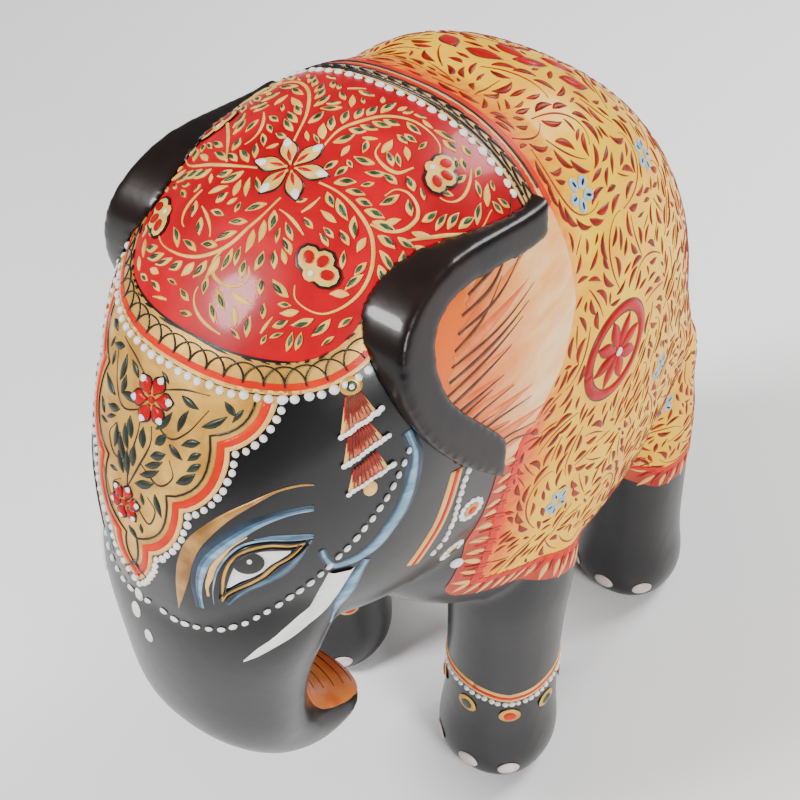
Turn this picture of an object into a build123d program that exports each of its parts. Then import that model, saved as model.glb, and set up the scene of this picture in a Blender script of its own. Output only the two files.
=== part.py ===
from build123d import *
import os
from math import copysign, cos, pi, sin

os.makedirs("parts", exist_ok=True)

# A hand-carved, hand-painted wooden elephant. It faces -Y and stands on z = 0. All lengths are in
# millimetres. The body is one block of wood; the other pieces are the glued ears, the tail and the
# coats of raised paint, each a thin shell that fits the wood under it.

# ---- driving dimensions ----
# The stations below are cross-sections. Squareness is the exponent of a superellipse: 2 is an
# ellipse, more is squarer. REACH is a distance past every surface of the figure.
REACH = 60
RING_POINTS = 20
UPPER_SQUARENESS, LOWER_SQUARENESS = 2.5, 3.2
LEG_SQUARENESS = 2.2

# torso: y, half width, lowest z, highest z
TORSO = [
    (-33, 16, 72, 108),
    (-29, 21.5, 66, 118),
    (-22, 26, 58, 129),
    (-12, 29, 50, 137),
    (2, 31, 45, 143.6),
    (14, 31, 43, 142.6),
    (27, 29.6, 43, 135.5),
    (38, 26.8, 44, 125.5),
    (46, 23, 47, 113),
    (51.5, 17.5, 53, 96),
    (54.3, 8, 63, 77),
]
# cranium: y, half width, lowest z, highest z
CRANIUM = [
    (8, 27, 66, 141),
    (-1, 28.4, 67, 145.8),
    (-9, 28.8, 68, 148.2),
    (-18, 28.7, 69, 149.2),
    (-27, 28, 71, 148.2),
    (-35, 27.2, 73.5, 145.5),
    (-43, 24.8, 76.5, 140.8),
    (-50, 21, 79.5, 134.8),
    (-56, 17, 82.5, 127.6),
    (-60, 13.4, 85.5, 120.5),
    (-63, 9.4, 89, 112),
    (-64.6, 4.5, 95, 104),
]
# face and trunk: z, y of the front, y of the back, half width, squareness
TRUNK = [
    (108, -56, -40, 11, 2.1),
    (99, -62.3, -38, 17.3, 2.1),
    (90, -64.8, -38.5, 19.4, 2.1),
    (80, -65.2, -42, 17.4, 2.1),
    (69, -64.6, -45, 15.7, 2.1),
    (60, -62.6, -44.6, 14.8, 2.2),
    (55, -59.6, -41.8, 14.3, 2.4),
    (50.4, -55.2, -36.8, 14, 2.8),
    (47, -50.6, -33, 13.6, 3),
    (44.6, -47, -32.2, 12.4, 3),
    (43.4, -43.4, -34, 9, 3),
]
# legs: z, radius, how far the centre has moved from the foot towards the middle of the body
LEG = [
    (0, 8.3, 0),
    (1.2, 10.1, 0),
    (4.5, 11.3, 0.2),
    (12, 11.1, 0.8),
    (30, 10.4, 2),
    (46, 10.8, 3.5),
    (62, 11, 6),
    (74, 8, 10),
]
FOOT = {"front": (20.7, -3), "hind": (19.4, 50.8)}
LEAN = {"front": (0.3, 0.4), "hind": (0.5, -0.9)}

# ears: the outer face is at x = EAR_X + EAR_LEAN * (EAR_Z - z), and the outlines are in (y, z)
EAR_X, EAR_Z, EAR_LEAN = 24.5, 138, 0.22
EAR_ROOT_X = 10
EAR_LOW, EAR_HIGH, EAR_FAR = 90, 160, 80
EAR_OUTER = [(-7, 139.2), (-22, 141.4), (-35, 141), (-40.4, 136.5), (-41.2, 129.5), (-36.8, 118.2), (-25.5, 105.2)]
EAR_INNER = [(-23.6, 110.8), (-30, 119.6), (-34.4, 129), (-33.4, 135), (-20, 136), (-8.4, 134.2)]
EAR_BACK = [(-6, 130), (-5, 121), (-9, 113), (-18, 107)]

# tail: height, y of the centre, half width, half depth
TAIL = [
    (36, 57.6, 1.2, 1),
    (44, 57, 3.4, 2.2),
    (52, 56.4, 2.4, 1.9),
    (68, 56.6, 2.2, 1.9),
    (84, 54.6, 2.4, 2),
    (97, 50, 2, 1.5),
]

# painted layers: thickness of a flat coat and of a row of blobs, and the least volume of a patch
PAINT = 0.45
BLOB = 0.9
SMALLEST_PATCH = 0.05

# painted areas seen from the side, in (y, z); those on the flank only start at FLANK_X
FLANK_X = 15
CAP = [(-72, 129.6), (-43, 137.1), (-43, 142.5), (-12, 142.5), (-12, 155), (-72, 155)]
FRONT_BAND = [(-72, 127.4), (-43, 134.9), (-43, 136.9), (-72, 129.4)]
BACK_BAND = [(-9.8, 142), (-4.6, 142), (-4.6, 155), (-9.8, 155)]
CLOTH = [(-4.4, 155), (-4.4, 130), (-4, 121), (-8, 112), (-17, 104), (-21.5, 73), (43, 44), (72, 44), (72, 155)]
FRINGE = [(-17.2, 104), (-21.7, 72.8), (43, 43.8), (72, 43.8), (72, 39), (43, 39), (-26.5, 69.5), (-22.5, 103)]
COLLAR = [(-33, 106), (-37, 98), (-39.5, 88), (-36.9, 87.6), (-34.4, 97.4), (-30.4, 105)]
TIP_LINING = [(-47, 66), (-43, 55.5), (-31, 42.8), (-28, 50), (-34, 60), (-40, 68)]
MEDALLION_AT, MEDALLION_RADIUS = (5.5, 106), 8
FRONT_BEADS = [(-72, 125.6), (-43, 133.1), (-43, 134.6), (-72, 127.1)]
BACK_BEADS = [(-11.7, 142.5), (-10.1, 142.5), (-10.1, 155), (-11.7, 155)]

# painted areas seen from the front, in (x, z), from FRONT_Y forward
FRONT_Y, FRONT_DEPTH = -40, 40
PANEL_X = -2
PANEL_CUSPS = [(15.5, 130.6), (13, 124.4), (11, 117.2), (7, 110.4), (0, 99)]
PANEL_BULGE = 0.9
PANEL_BORDER = 2
PANEL_BEADS = (2.3, 3.9)
EYE_ENDS, EYE_BULGES = ((9.6, 101.3), (19.3, 109.8)), (1.6, -1.2)
TUSK_ENDS, TUSK_BULGES = ((22.3, 103), (13.4, 88.4)), (3.6, 0.6)
TASSEL = [(18.6, 131.5), (20.8, 131.5), (24.8, 117), (23.4, 113.5), (21, 117)]
FACE_BEADS = [(1, 93.8), (9.2, 94.4), (15.8, 101), (20, 106.3), (23.2, 112.3), (24.6, 111.4), (21.2, 105.3),
              (16.8, 99.8), (9.8, 92.8), (1, 92.2)]

# anklets and toes
ANKLET_Z, ANKLET_WIDTH = 27, 2.4
TOE_ANGLES = (-40, 0, 40)
TOE_Z, TOE_RADIUS, TOE_REACH = 5, 2.3, 30


def ring(plane, half_width, half_height, upper, lower):
    """A squarish ellipse as one closed curve, with its own squareness above and below the middle."""
    points = []
    for i in range(RING_POINTS):
        t = 2 * pi * i / RING_POINTS
        squareness = upper if sin(t) >= 0 else lower
        x = half_width * copysign(abs(cos(t)) ** (2 / squareness), cos(t))
        y = half_height * copysign(abs(sin(t)) ** (2 / squareness), sin(t))
        points.append((x, y))
    with BuildSketch(plane) as sketch:
        with BuildLine():
            Spline(*points, periodic=True)
        make_face()
    return sketch.sketch


def between(stations):
    """The stations with one more, smoothly interpolated, between each pair."""
    last = len(stations) - 1
    result = []
    for i in range(last):
        before, here = stations[max(i - 1, 0)], stations[i]
        after, beyond = stations[i + 1], stations[min(i + 2, last)]
        result.append(here)
        result.append(tuple((9 * (p + q) - o - r) / 16 for o, p, q, r in zip(before, here, after, beyond)))
    return result + [stations[last]]


def upright_ring(y, half_width, low, high, lower, grow):
    """A cross-section of the torso or the cranium, standing across the length of the figure."""
    plane = Plane(origin=(0, y, (low + high) / 2), x_dir=(1, 0, 0), z_dir=(0, -1, 0))
    return ring(plane, half_width + grow, (high - low) / 2 + grow, UPPER_SQUARENESS, lower)


def trunk_ring(z, front, back, half_width, squareness, grow):
    """A level cross-section of the face and trunk."""
    plane = Plane(origin=(0, (front + back) / 2, z))
    return ring(plane, half_width + grow, (back - front) / 2 + grow, squareness, squareness)


def leg_ring(where, side, z, radius, shift, grow):
    """A level cross-section of a leg, moved towards the middle of the body as it rises."""
    x = side * (FOOT[where][0] - shift * LEAN[where][0])
    y = FOOT[where][1] + shift * LEAN[where][1]
    return ring(Plane(origin=(x, y, z)), radius + grow, radius + grow, LEG_SQUARENESS, LEG_SQUARENESS)


def trunk_and_head(grow=0):
    """The torso, cranium and trunk as one block, every surface moved outwards by a growth."""
    with BuildPart() as block:
        loft([upright_ring(*s, LOWER_SQUARENESS, grow) for s in between(TORSO)])
        loft([upright_ring(*s, UPPER_SQUARENESS, grow) for s in CRANIUM])
        loft([trunk_ring(*s, grow) for s in TRUNK])
    return block.part


def leg(where, side, grow=0):
    """One stout leg from the ground into the torso; side is 1 for the left and -1 for the right."""
    with BuildPart() as limb:
        loft([leg_ring(where, side, *s, grow) for s in LEG])
    return limb.part


def side_prism(points, x_from, x_to):
    """A prism along X with a polygon given in (y, z)."""
    with BuildPart() as prism:
        with BuildSketch(Plane.YZ.offset(x_from)):
            with BuildLine():
                Polyline(*points, close=True)
            make_face()
        extrude(amount=x_to - x_from)
    return prism.part


def tail():
    """A short tail that hangs down the rump to a tuft."""
    with BuildPart() as piece:
        for z, y, half_width, half_depth in TAIL:
            with BuildSketch(Plane(origin=(0, y, z))):
                Ellipse(half_width, half_depth)
        loft()
    return piece.part


def ear():
    """The left ear: a C-shaped rim that stands out from the head, its outer face leaning in at the top."""
    low, high = (EAR_X + EAR_LEAN * (EAR_Z - z) for z in (EAR_LOW, EAR_HIGH))
    with BuildPart() as outside:
        with BuildSketch(Plane.XZ.offset(-REACH)):
            with BuildLine():
                Polyline((low, EAR_LOW), (high, EAR_HIGH), (EAR_FAR, EAR_HIGH), (EAR_FAR, EAR_LOW), close=True)
            make_face()
        extrude(amount=2 * REACH)
    with BuildPart() as rim:
        with BuildSketch(Plane.YZ.offset(EAR_ROOT_X)):
            with BuildLine():
                Spline(*EAR_OUTER)
                Line(EAR_OUTER[-1], EAR_INNER[0])
                Spline(*EAR_INNER)
                Line(EAR_INNER[-1], EAR_OUTER[0])
            make_face()
        extrude(amount=REACH)
    return rim.part.cut(outside.part)


def front_face(sketch_lines):
    """A prism that reaches forward from inside the head, its outline in (x, z) drawn by a function."""
    with BuildPart() as prism:
        with BuildSketch(Plane(origin=(0, FRONT_Y, 0), x_dir=(1, 0, 0), z_dir=(0, -1, 0))):
            with BuildLine():
                sketch_lines()
            make_face()
        extrude(amount=FRONT_DEPTH)
    return prism.part


def panel_prism(border=0):
    """The scalloped outline of the painted forehead, wider by the border."""
    right = [(PANEL_X + x + border, z - border * (x == 0)) for x, z in PANEL_CUSPS[:-1]]
    left = [(2 * PANEL_X - x, z) for x, z in reversed(right)]
    tip = (PANEL_X, PANEL_CUSPS[-1][1] - 2 * border)
    cusps = right + [tip] + left

    def lines():
        for start, end in zip(cusps, cusps[1:]):
            SagittaArc(start, end, PANEL_BULGE)
        Line(left[-1], right[0])

    return front_face(lines)


def lens_prism(ends, bulges):
    """A pointed lens or crescent between two points, bounded by two arcs."""

    def lines():
        SagittaArc(*ends, bulges[0])
        SagittaArc(*ends, bulges[1])

    return front_face(lines)


def toe_pins(where):
    """Three pins that reach out of the front of a left foot."""
    x, y = FOOT[where]
    with BuildPart() as pins:
        for angle in TOE_ANGLES:
            across = Vector(1, 0, 0).rotate(Axis.Z, angle)
            outward = Vector(0, -1, 0).rotate(Axis.Z, angle)
            with BuildSketch(Plane(origin=(x, y, TOE_Z), x_dir=across, z_dir=outward)):
                Circle(TOE_RADIUS)
            extrude(amount=TOE_REACH)
    return pins.part


def round_prism(place, radius):
    """A round bar along +X at a place in (y, z)."""
    with BuildPart() as bar:
        with BuildSketch(Plane.YZ):
            with Locations(place):
                Circle(radius)
        extrude(amount=REACH)
    return bar.part


def painted(region, coat, *masks):
    """The part of a coat, a slightly grown body, that lies in a region, less the wood and the masks."""
    patches = [patch for block in coat.intersect(region).solids() for patch in block.cut(body, *masks).solids()]
    return Compound(children=[patch for patch in patches if patch.volume > SMALLEST_PATCH])


legs = [leg(where, side) for where in FOOT for side in (1, -1)]
body = trunk_and_head().fuse(*legs)
flat, blob = trunk_and_head(PAINT), trunk_and_head(BLOB)
left_ear = ear().cut(body)
ears = (left_ear, mirror(left_ear, about=Plane.YZ))
left_medallion = round_prism(MEDALLION_AT, MEDALLION_RADIUS)
medallions = (left_medallion, mirror(left_medallion, about=Plane.YZ))

whole = {
    "carved_body": body,
    "tail": tail().cut(body),
    "head_cap": painted(side_prism(CAP, -REACH, REACH), flat),
    "cap_band_front": painted(side_prism(FRONT_BAND, -REACH, REACH), flat),
    "cap_band_back": painted(side_prism(BACK_BAND, -REACH, REACH), flat),
    "cap_beads_front": painted(side_prism(FRONT_BEADS, -REACH, REACH), blob),
    "cap_beads_back": painted(side_prism(BACK_BEADS, -REACH, REACH), blob),
    "saddle_cloth": painted(side_prism(CLOTH, -REACH, REACH), flat, *ears, *medallions),
    "saddle_fringe": painted(side_prism(FRINGE, -REACH, REACH), flat),
    "forehead_panel": painted(panel_prism(), flat),
    "panel_border": painted(panel_prism(PANEL_BORDER), flat, panel_prism()),
    "panel_beads": painted(panel_prism(PANEL_BEADS[1]), blob, panel_prism(PANEL_BEADS[0])),
    "trunk_tip_lining": painted(side_prism(TIP_LINING, -REACH, REACH), flat),
}
left_legs = {where: leg(where, 1, BLOB) for where in FOOT}
with BuildPart() as ankle_slab:
    with BuildSketch(Plane.XY.offset(ANKLET_Z - ANKLET_WIDTH / 2)):
        Rectangle(2 * REACH, 2 * REACH)
    extrude(amount=ANKLET_WIDTH)
paired = {
    "ear": left_ear,
    "ear_lining": painted(side_prism(EAR_INNER + EAR_BACK, FLANK_X, REACH), flat, left_ear),
    "medallion": painted(left_medallion, blob),
    "collar": painted(side_prism(COLLAR, FLANK_X, REACH), flat, left_ear),
    "eye": painted(lens_prism(EYE_ENDS, EYE_BULGES), blob),
    "tusk": painted(lens_prism(TUSK_ENDS, TUSK_BULGES), blob),
    "tassel": painted(front_face(lambda: Polyline(*TASSEL, close=True)), blob, left_ear),
    "face_beads": painted(front_face(lambda: Polyline(*FACE_BEADS, close=True)), blob, left_ear),
    "anklet": painted(ankle_slab.part, left_legs["front"]),
    "toenails_front": painted(toe_pins("front"), left_legs["front"]),
    "toenails_hind": painted(toe_pins("hind"), left_legs["hind"]),
}
pieces = dict(whole)
for name, piece in paired.items():
    pieces[f"{name}_left"] = piece
    pieces[f"{name}_right"] = mirror(piece, about=Plane.YZ)

# the middle of the whole figure, front to back, comes to y = 0
middle = Compound(children=[Compound(piece.solids()) for piece in pieces.values()]).bounding_box().center()
for name, piece in pieces.items():
    placed = Compound(piece.solids()).moved(Location((0, -middle.Y, 0)))
    placed.label = name
    export_step(placed, f"parts/{name}.step")
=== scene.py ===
"""The painted wooden elephant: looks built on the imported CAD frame. Lengths are millimetres unless marked."""

import math
import random

import bpy
import numpy as np
from mathutils import Matrix, Vector
from mathutils.bvhtree import BVHTree
from mathutils.geometry import delaunay_2d_cdt


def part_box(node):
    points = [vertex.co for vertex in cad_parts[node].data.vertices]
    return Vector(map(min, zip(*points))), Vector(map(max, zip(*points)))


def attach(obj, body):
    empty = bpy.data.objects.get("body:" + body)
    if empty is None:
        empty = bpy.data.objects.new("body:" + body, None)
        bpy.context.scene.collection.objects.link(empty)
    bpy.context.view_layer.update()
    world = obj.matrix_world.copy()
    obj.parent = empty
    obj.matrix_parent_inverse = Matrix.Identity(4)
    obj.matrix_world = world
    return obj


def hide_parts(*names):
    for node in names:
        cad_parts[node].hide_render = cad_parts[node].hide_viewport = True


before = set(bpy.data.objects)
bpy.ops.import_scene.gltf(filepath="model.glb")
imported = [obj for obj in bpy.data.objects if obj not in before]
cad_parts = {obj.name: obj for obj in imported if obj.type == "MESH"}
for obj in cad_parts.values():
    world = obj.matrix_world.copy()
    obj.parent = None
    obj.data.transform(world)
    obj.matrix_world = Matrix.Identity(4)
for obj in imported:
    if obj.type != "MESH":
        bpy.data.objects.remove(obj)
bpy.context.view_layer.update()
MM = 0.001
SIDES = ((1, "left"), (-1, "right"))

# The drawing's y starts a little behind the row's: its trunk front is at DRAWING_FRONT.
DRAWING_FRONT = -65.23
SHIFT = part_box("carved_body")[0][1] / MM - DRAWING_FRONT


def at(x, y, z):
    """A place in the drawing, in millimetres, moved into the row frame."""
    return Vector((x, y + SHIFT, z))


# ---------------------------------------------------------------- materials


def ramp(nodes, links, source, stops):
    """A ramp between two colours, fed by a socket; stops are (place, colour)."""
    node = nodes.new("ShaderNodeValToRGB")
    for element, (place, colour) in zip(node.color_ramp.elements, stops):
        element.position = place
        element.color = (*colour, 1)
    links.new(source, node.inputs["Fac"])
    return node.outputs["Color"]


def noise(nodes, links, scale, detail=3.0, stretch=(1, 1, 1), distortion=0.0):
    """Noise over the row frame, with its scale in waves per metre."""
    place = nodes.new("ShaderNodeTexCoord")
    mapping = nodes.new("ShaderNodeMapping")
    mapping.inputs["Scale"].default_value = stretch
    links.new(place.outputs["Object"], mapping.inputs["Vector"])
    texture = nodes.new("ShaderNodeTexNoise")
    texture.inputs["Scale"].default_value = scale
    texture.inputs["Detail"].default_value = detail
    texture.inputs["Distortion"].default_value = distortion
    links.new(mapping.outputs["Vector"], texture.inputs["Vector"])
    return texture.outputs["Fac"]


TONE_SPREAD = (0.35, 0.68)
COAT_ROUGHNESS = 0.09
BRUSH_DEPTH = 0.4 * MM


def lacquer(name, dark, light, roughness, coat, scale, bump, bump_scale, metallic=0.0, stretch=(1, 1, 1),
            shine=0.4):
    """Brushed paint under clear lacquer, in a colour that drifts between two tones."""
    material = bpy.data.materials.new(name)
    material.use_nodes = True
    nodes, links = material.node_tree.nodes, material.node_tree.links
    shader = nodes["Principled BSDF"]
    drift = noise(nodes, links, scale, 4.0, stretch, 0.4)
    colour = ramp(nodes, links, drift, zip(TONE_SPREAD, (dark, light)))
    links.new(colour, shader.inputs["Base Color"])
    shader.inputs["Roughness"].default_value = roughness
    shader.inputs["Metallic"].default_value = metallic
    shader.inputs["Specular IOR Level"].default_value = shine
    shader.inputs["Coat Weight"].default_value = coat
    shader.inputs["Coat Roughness"].default_value = COAT_ROUGHNESS
    grain = noise(nodes, links, bump_scale, 3.0, stretch)
    relief = nodes.new("ShaderNodeBump")
    relief.inputs["Strength"].default_value = bump
    relief.inputs["Distance"].default_value = BRUSH_DEPTH
    links.new(grain, relief.inputs["Height"])
    links.new(relief.outputs["Normal"], shader.inputs["Normal"])
    return material


WOBBLE_SCALE, WOBBLE_STRETCH = 420, (3, 0.6, 1)


def graded(material, axis, start, end, near_colour):
    """Fades a lacquer in from another colour between two places along an axis, with an uneven edge."""
    nodes, links = material.node_tree.nodes, material.node_tree.links
    shader = nodes["Principled BSDF"]
    base = shader.inputs["Base Color"].links[0].from_socket
    place = nodes.new("ShaderNodeTexCoord")
    along = nodes.new("ShaderNodeVectorMath")
    along.operation = "DOT_PRODUCT"
    along.inputs[1].default_value = axis
    links.new(place.outputs["Object"], along.inputs[0])
    wobble = nodes.new("ShaderNodeMath")
    wobble.operation = "MULTIPLY_ADD"
    links.new(noise(nodes, links, WOBBLE_SCALE, 4.0, WOBBLE_STRETCH), wobble.inputs[0])
    wobble.inputs[1].default_value = (end - start) * MM
    half = 0.5 * (end - start)
    links.new(along.outputs["Value"], wobble.inputs[2])
    span = nodes.new("ShaderNodeMapRange")
    span.inputs["From Min"].default_value = (start + half) * MM
    span.inputs["From Max"].default_value = (end + half) * MM
    links.new(wobble.outputs[0], span.inputs["Value"])
    mix = nodes.new("ShaderNodeMix")
    mix.data_type = "RGBA"
    near, far = (socket for socket in mix.inputs if socket.type == "RGBA")
    near.default_value = (*near_colour, 1)
    links.new(base, far)
    links.new(span.outputs["Result"], mix.inputs["Factor"])
    links.new(next(socket for socket in mix.outputs if socket.type == "RGBA"), shader.inputs["Base Color"])


# finishes: roughness, clear coat, the colour's waves per metre, brushing strength and its waves per metre
FINE = (0.45, 0.1, 500, 0.1, 700)
BRUSHED = (0.4, 0.08, 200, 0.1, 600)
CHALKY = (0.45, 0.05, 300, 0.1, 700)
STREAKED = (0.45, 0.1, 220, 0.1, 500)

black = lacquer("black_lacquer", (0.004, 0.004, 0.0045), (0.009, 0.0085, 0.009), 0.34, 0.22, 60, 0.12, 240,
                shine=0.3)
ear_black = lacquer("ear_black", (0.004, 0.0035, 0.0035), (0.016, 0.008, 0.007), 0.34, 0.16, 80, 0.12, 260,
                    shine=0.2)
line_black = lacquer("line_black", (0.005, 0.004, 0.004), (0.014, 0.010, 0.009), 0.4, 0.15, 400, 0.1, 700,
                     shine=0.3)
crimson = lacquer("crimson", (0.38, 0.0, 0.006), (0.60, 0.0, 0.012), 0.34, 0.14, 90, 0.08, 300, shine=0.12)
red_orange = lacquer("red_orange", (0.56, 0.010, 0.0), (0.74, 0.026, 0.0), *BRUSHED, shine=0.12)
red = lacquer("red", (0.36, 0.0, 0.002), (0.54, 0.002, 0.005), *BRUSHED, shine=0.12)
brown_red = lacquer("brown_red", (0.14, 0.003, 0.001), (0.34, 0.012, 0.001), 0.45, 0.05, 500, 0.1, 700,
                    shine=0.2)
brown = lacquer("brown", (0.06, 0.014, 0.005), (0.15, 0.04, 0.012), *FINE)
rose = lacquer("rose", (0.34, 0.006, 0.008), (0.56, 0.04, 0.03), 0.45, 0.05, 400, 0.1, 700, shine=0.12)
fringe_red = lacquer("fringe_red", (0.36, 0.014, 0.010), (0.60, 0.09, 0.045), 0.42, 0.05, 160, 0.1, 500,
                     stretch=(1, 1, 0.4), shine=0.12)
pink = lacquer("pink", (0.66, 0.12, 0.06), (0.84, 0.32, 0.17), *CHALKY, shine=0.12)
yellow = lacquer("yellow", (0.95, 0.44, 0.0), (1.0, 0.62, 0.008), 0.38, 0.1, 120, 0.1, 400, shine=0.1)
gold = lacquer("gold", (0.52, 0.25, 0.035), (0.80, 0.46, 0.09), 0.40, 0.1, 260, 0.12, 700, 0.3, shine=0.25)
brow_gold = lacquer("brow_gold", (0.26, 0.11, 0.022), (0.52, 0.27, 0.06), 0.4, 0.1, 300, 0.1, 700, 0.3)
tan = lacquer("tan", (0.78, 0.40, 0.10), (0.90, 0.54, 0.17), *CHALKY, shine=0.25)
vine_tan = lacquer("vine_tan", (0.70, 0.38, 0.06), (0.88, 0.56, 0.13), *CHALKY, shine=0.25)
leaf_green = lacquer("leaf_green", (0.010, 0.028, 0.010), (0.035, 0.085, 0.03), *FINE)
dark_leaf = lacquer("dark_leaf", (0.006, 0.010, 0.005), (0.014, 0.026, 0.012), *FINE)
white = lacquer("white", (0.80, 0.79, 0.76), (0.92, 0.91, 0.89), *FINE)
soft_blue = lacquer("soft_blue", (0.10, 0.22, 0.33), (0.30, 0.46, 0.58), *STREAKED, stretch=(1, 1, 3))
mid_blue = lacquer("mid_blue", (0.035, 0.085, 0.14), (0.10, 0.19, 0.28), *STREAKED, stretch=(1, 1, 3))
deep_blue = lacquer("deep_blue", (0.008, 0.016, 0.028), (0.025, 0.05, 0.085), 0.45, 0.1, 160, 0.1, 500)
sky_blue = lacquer("sky_blue", (0.18, 0.42, 0.62), (0.36, 0.60, 0.76), *FINE)
peach = lacquer("peach", (0.95, 0.36, 0.06), (1.0, 0.66, 0.30), 0.4, 0.1, 120, 0.1, 400, stretch=(1, 0.5, 2),
                shine=0.25)
orange = lacquer("orange", (0.74, 0.12, 0.012), (0.88, 0.26, 0.05), 0.42, 0.15, 200, 0.1, 500)
nail = lacquer("nail", (0.62, 0.50, 0.47), (0.80, 0.71, 0.68), 0.4, 0.2, 260, 0.1, 500)
graded(yellow, (0, 1, -0.24), -41 + SHIFT, -30 + SHIFT, (0.80, 0.045, 0.0))
graded(peach, (0, 1, -0.1), -40 + SHIFT, -26 + SHIFT, (0.82, 0.14, 0.01))


# ---------------------------------------------------------------- meshes


def add_piece(name, vertices, faces, material, slot, replaces=()):
    """A smooth mesh object from places in millimetres, riding on the frame."""
    mesh = bpy.data.meshes.new(name)
    mesh.from_pydata([Vector(v) * MM for v in vertices], [], [tuple(face) for face in faces])
    mesh.polygons.foreach_set("use_smooth", [True] * len(mesh.polygons))
    mesh.update()
    piece = bpy.data.objects.new(name, mesh)
    bpy.context.scene.collection.objects.link(piece)
    mesh.materials.append(material)
    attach(piece, "root")
    if replaces:
        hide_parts(*replaces)


def remeshed(node, voxel, rounds):
    """A CAD node's shape as vertices and triangles, remeshed and smoothed to soften its creases."""
    piece = bpy.data.objects.new("work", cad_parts[node].data.copy())
    bpy.context.scene.collection.objects.link(piece)
    remesh = piece.modifiers.new("remesh", "REMESH")
    remesh.mode, remesh.voxel_size = "VOXEL", voxel * MM
    smooth = piece.modifiers.new("smooth", "SMOOTH")
    smooth.iterations, smooth.factor = rounds, 0.5
    triangulate = piece.modifiers.new("triangulate", "TRIANGULATE")
    triangulate.quad_method = "SHORTEST_DIAGONAL"
    graph = bpy.context.evaluated_depsgraph_get()
    mesh = bpy.data.meshes.new_from_object(piece.evaluated_get(graph))
    points = np.empty(len(mesh.vertices) * 3)
    mesh.vertices.foreach_get("co", points)
    corners = np.empty(len(mesh.polygons) * 3, dtype=int)
    mesh.polygons.foreach_get("vertices", corners)
    bpy.data.objects.remove(piece)
    return points.reshape(-1, 3) / MM, corners.reshape(-1, 3)


def vertex_normals(points, triangles):
    """Unit normals at the corners, weighted by the areas of the triangles round them."""
    a, b, c = (points[triangles[:, i]] for i in range(3))
    face = np.cross(b - a, c - a)
    normals = np.zeros_like(points)
    for i in range(3):
        np.add.at(normals, triangles[:, i], face)
    return normals / np.maximum(np.linalg.norm(normals, axis=1, keepdims=True), 1e-12)


SKIN_VOXEL, SKIN_ROUNDS = 0.83, 14
HIP_DIP, HIP_FILL, HIP_REACH = (24.8, 45, 76), (1.9, 1.3, 0.4), 7


def fill_hips(points):
    """Rounds out the dips where the hind legs leave the flanks."""
    for side in (1, -1):
        away = points - np.array([side * HIP_DIP[0], HIP_DIP[1] + SHIFT, HIP_DIP[2]])
        weight = np.exp(-(away ** 2).sum(1) / (2 * HIP_REACH ** 2))
        points += weight[:, None] * np.array([side * HIP_FILL[0], *HIP_FILL[1:]])


SKIN, SKIN_FACES = remeshed("carved_body", SKIN_VOXEL, SKIN_ROUNDS)
SKIN[:, 2] = np.maximum(SKIN[:, 2], 0)
fill_hips(SKIN)
SKIN_NORMALS = vertex_normals(SKIN, SKIN_FACES)
SURFACE = BVHTree.FromPolygons([Vector(p) for p in SKIN], [tuple(f) for f in SKIN_FACES])
SKIN_TREE_NORMALS = [Vector(n) for n in SKIN_NORMALS]


def smooth_normal(place, face):
    """The skin's normal at a place on one of its triangles, blended from its corners."""
    total = Vector((0, 0, 0))
    for corner in SKIN_FACES[face]:
        weight = 1 / ((Vector(SKIN[corner]) - place).length + 0.05)
        total += SKIN_TREE_NORMALS[corner] * weight
    return total.normalized()


def drop(place):
    """The nearest place on the skin, with its normal."""
    hit, _, face, _ = SURFACE.find_nearest(place)
    return hit, smooth_normal(hit, face)


SKIRT = 0.15


def region(values, height):
    """The skin where values are below zero, lifted by height, with a skirt down into the wood all round."""
    inside = values < 0
    count = inside[SKIN_FACES].sum(axis=1)
    lifted = SKIN + SKIN_NORMALS * height
    sunk = SKIN - SKIN_NORMALS * SKIRT
    vertices, index, faces, cut_low, edges = [], {}, [], {}, []

    def keep(vertex):
        """The index of a lifted corner."""
        if vertex not in index:
            index[vertex] = len(vertices)
            vertices.append(lifted[vertex])
        return index[vertex]

    def split(a, b):
        """The index of the place where the region's edge crosses between two corners."""
        key = (min(a, b), max(a, b))
        if key not in index:
            t = values[a] / (values[a] - values[b])
            index[key] = len(vertices)
            vertices.append(lifted[a] + (lifted[b] - lifted[a]) * t)
            cut_low[index[key]] = sunk[a] + (sunk[b] - sunk[a]) * t
        return index[key]

    for face in SKIN_FACES[count == 3]:
        faces.append(tuple(keep(v) for v in face))
    for face in SKIN_FACES[(count > 0) & (count < 3)]:
        loop = []
        for a, b in zip(face, np.roll(face, -1)):
            if inside[a]:
                loop.append(keep(a))
            if inside[a] != inside[b]:
                loop.append(split(a, b))
        faces.append(tuple(loop))
        first, second = (i for i, v in enumerate(loop) if v in cut_low)
        pair = (loop[first], loop[second])
        edges.append(pair if second == first + 1 else pair[::-1])
    skirt_index = {}
    for a, b in edges:
        for v in (a, b):
            if v not in skirt_index:
                skirt_index[v] = len(vertices)
                vertices.append(vertices[v])
                vertices.append(cut_low[v])
        faces.append((skirt_index[b], skirt_index[a], skirt_index[a] + 1, skirt_index[b] + 1))
    return vertices, faces


def polygon_distance(points, outline):
    """Signed distance from 2-D points to a closed outline, negative inside."""
    outline = np.asarray(outline, dtype=float)
    best = np.full(len(points), 1e9)
    crossings = np.zeros(len(points), dtype=int)
    for start, end in zip(outline, np.roll(outline, -1, axis=0)):
        edge = end - start
        t = np.clip(((points - start) @ edge) / (edge @ edge), 0, 1)
        best = np.minimum(best, np.linalg.norm(points - start - t[:, None] * edge, axis=1))
        above = (start[1] <= points[:, 1]) != (end[1] <= points[:, 1])
        with np.errstate(divide="ignore", invalid="ignore"):
            x = start[0] + (points[:, 1] - start[1]) * edge[0] / edge[1]
        crossings += above & (points[:, 0] < x)
    return np.where(crossings % 2 == 1, -best, best)


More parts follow.
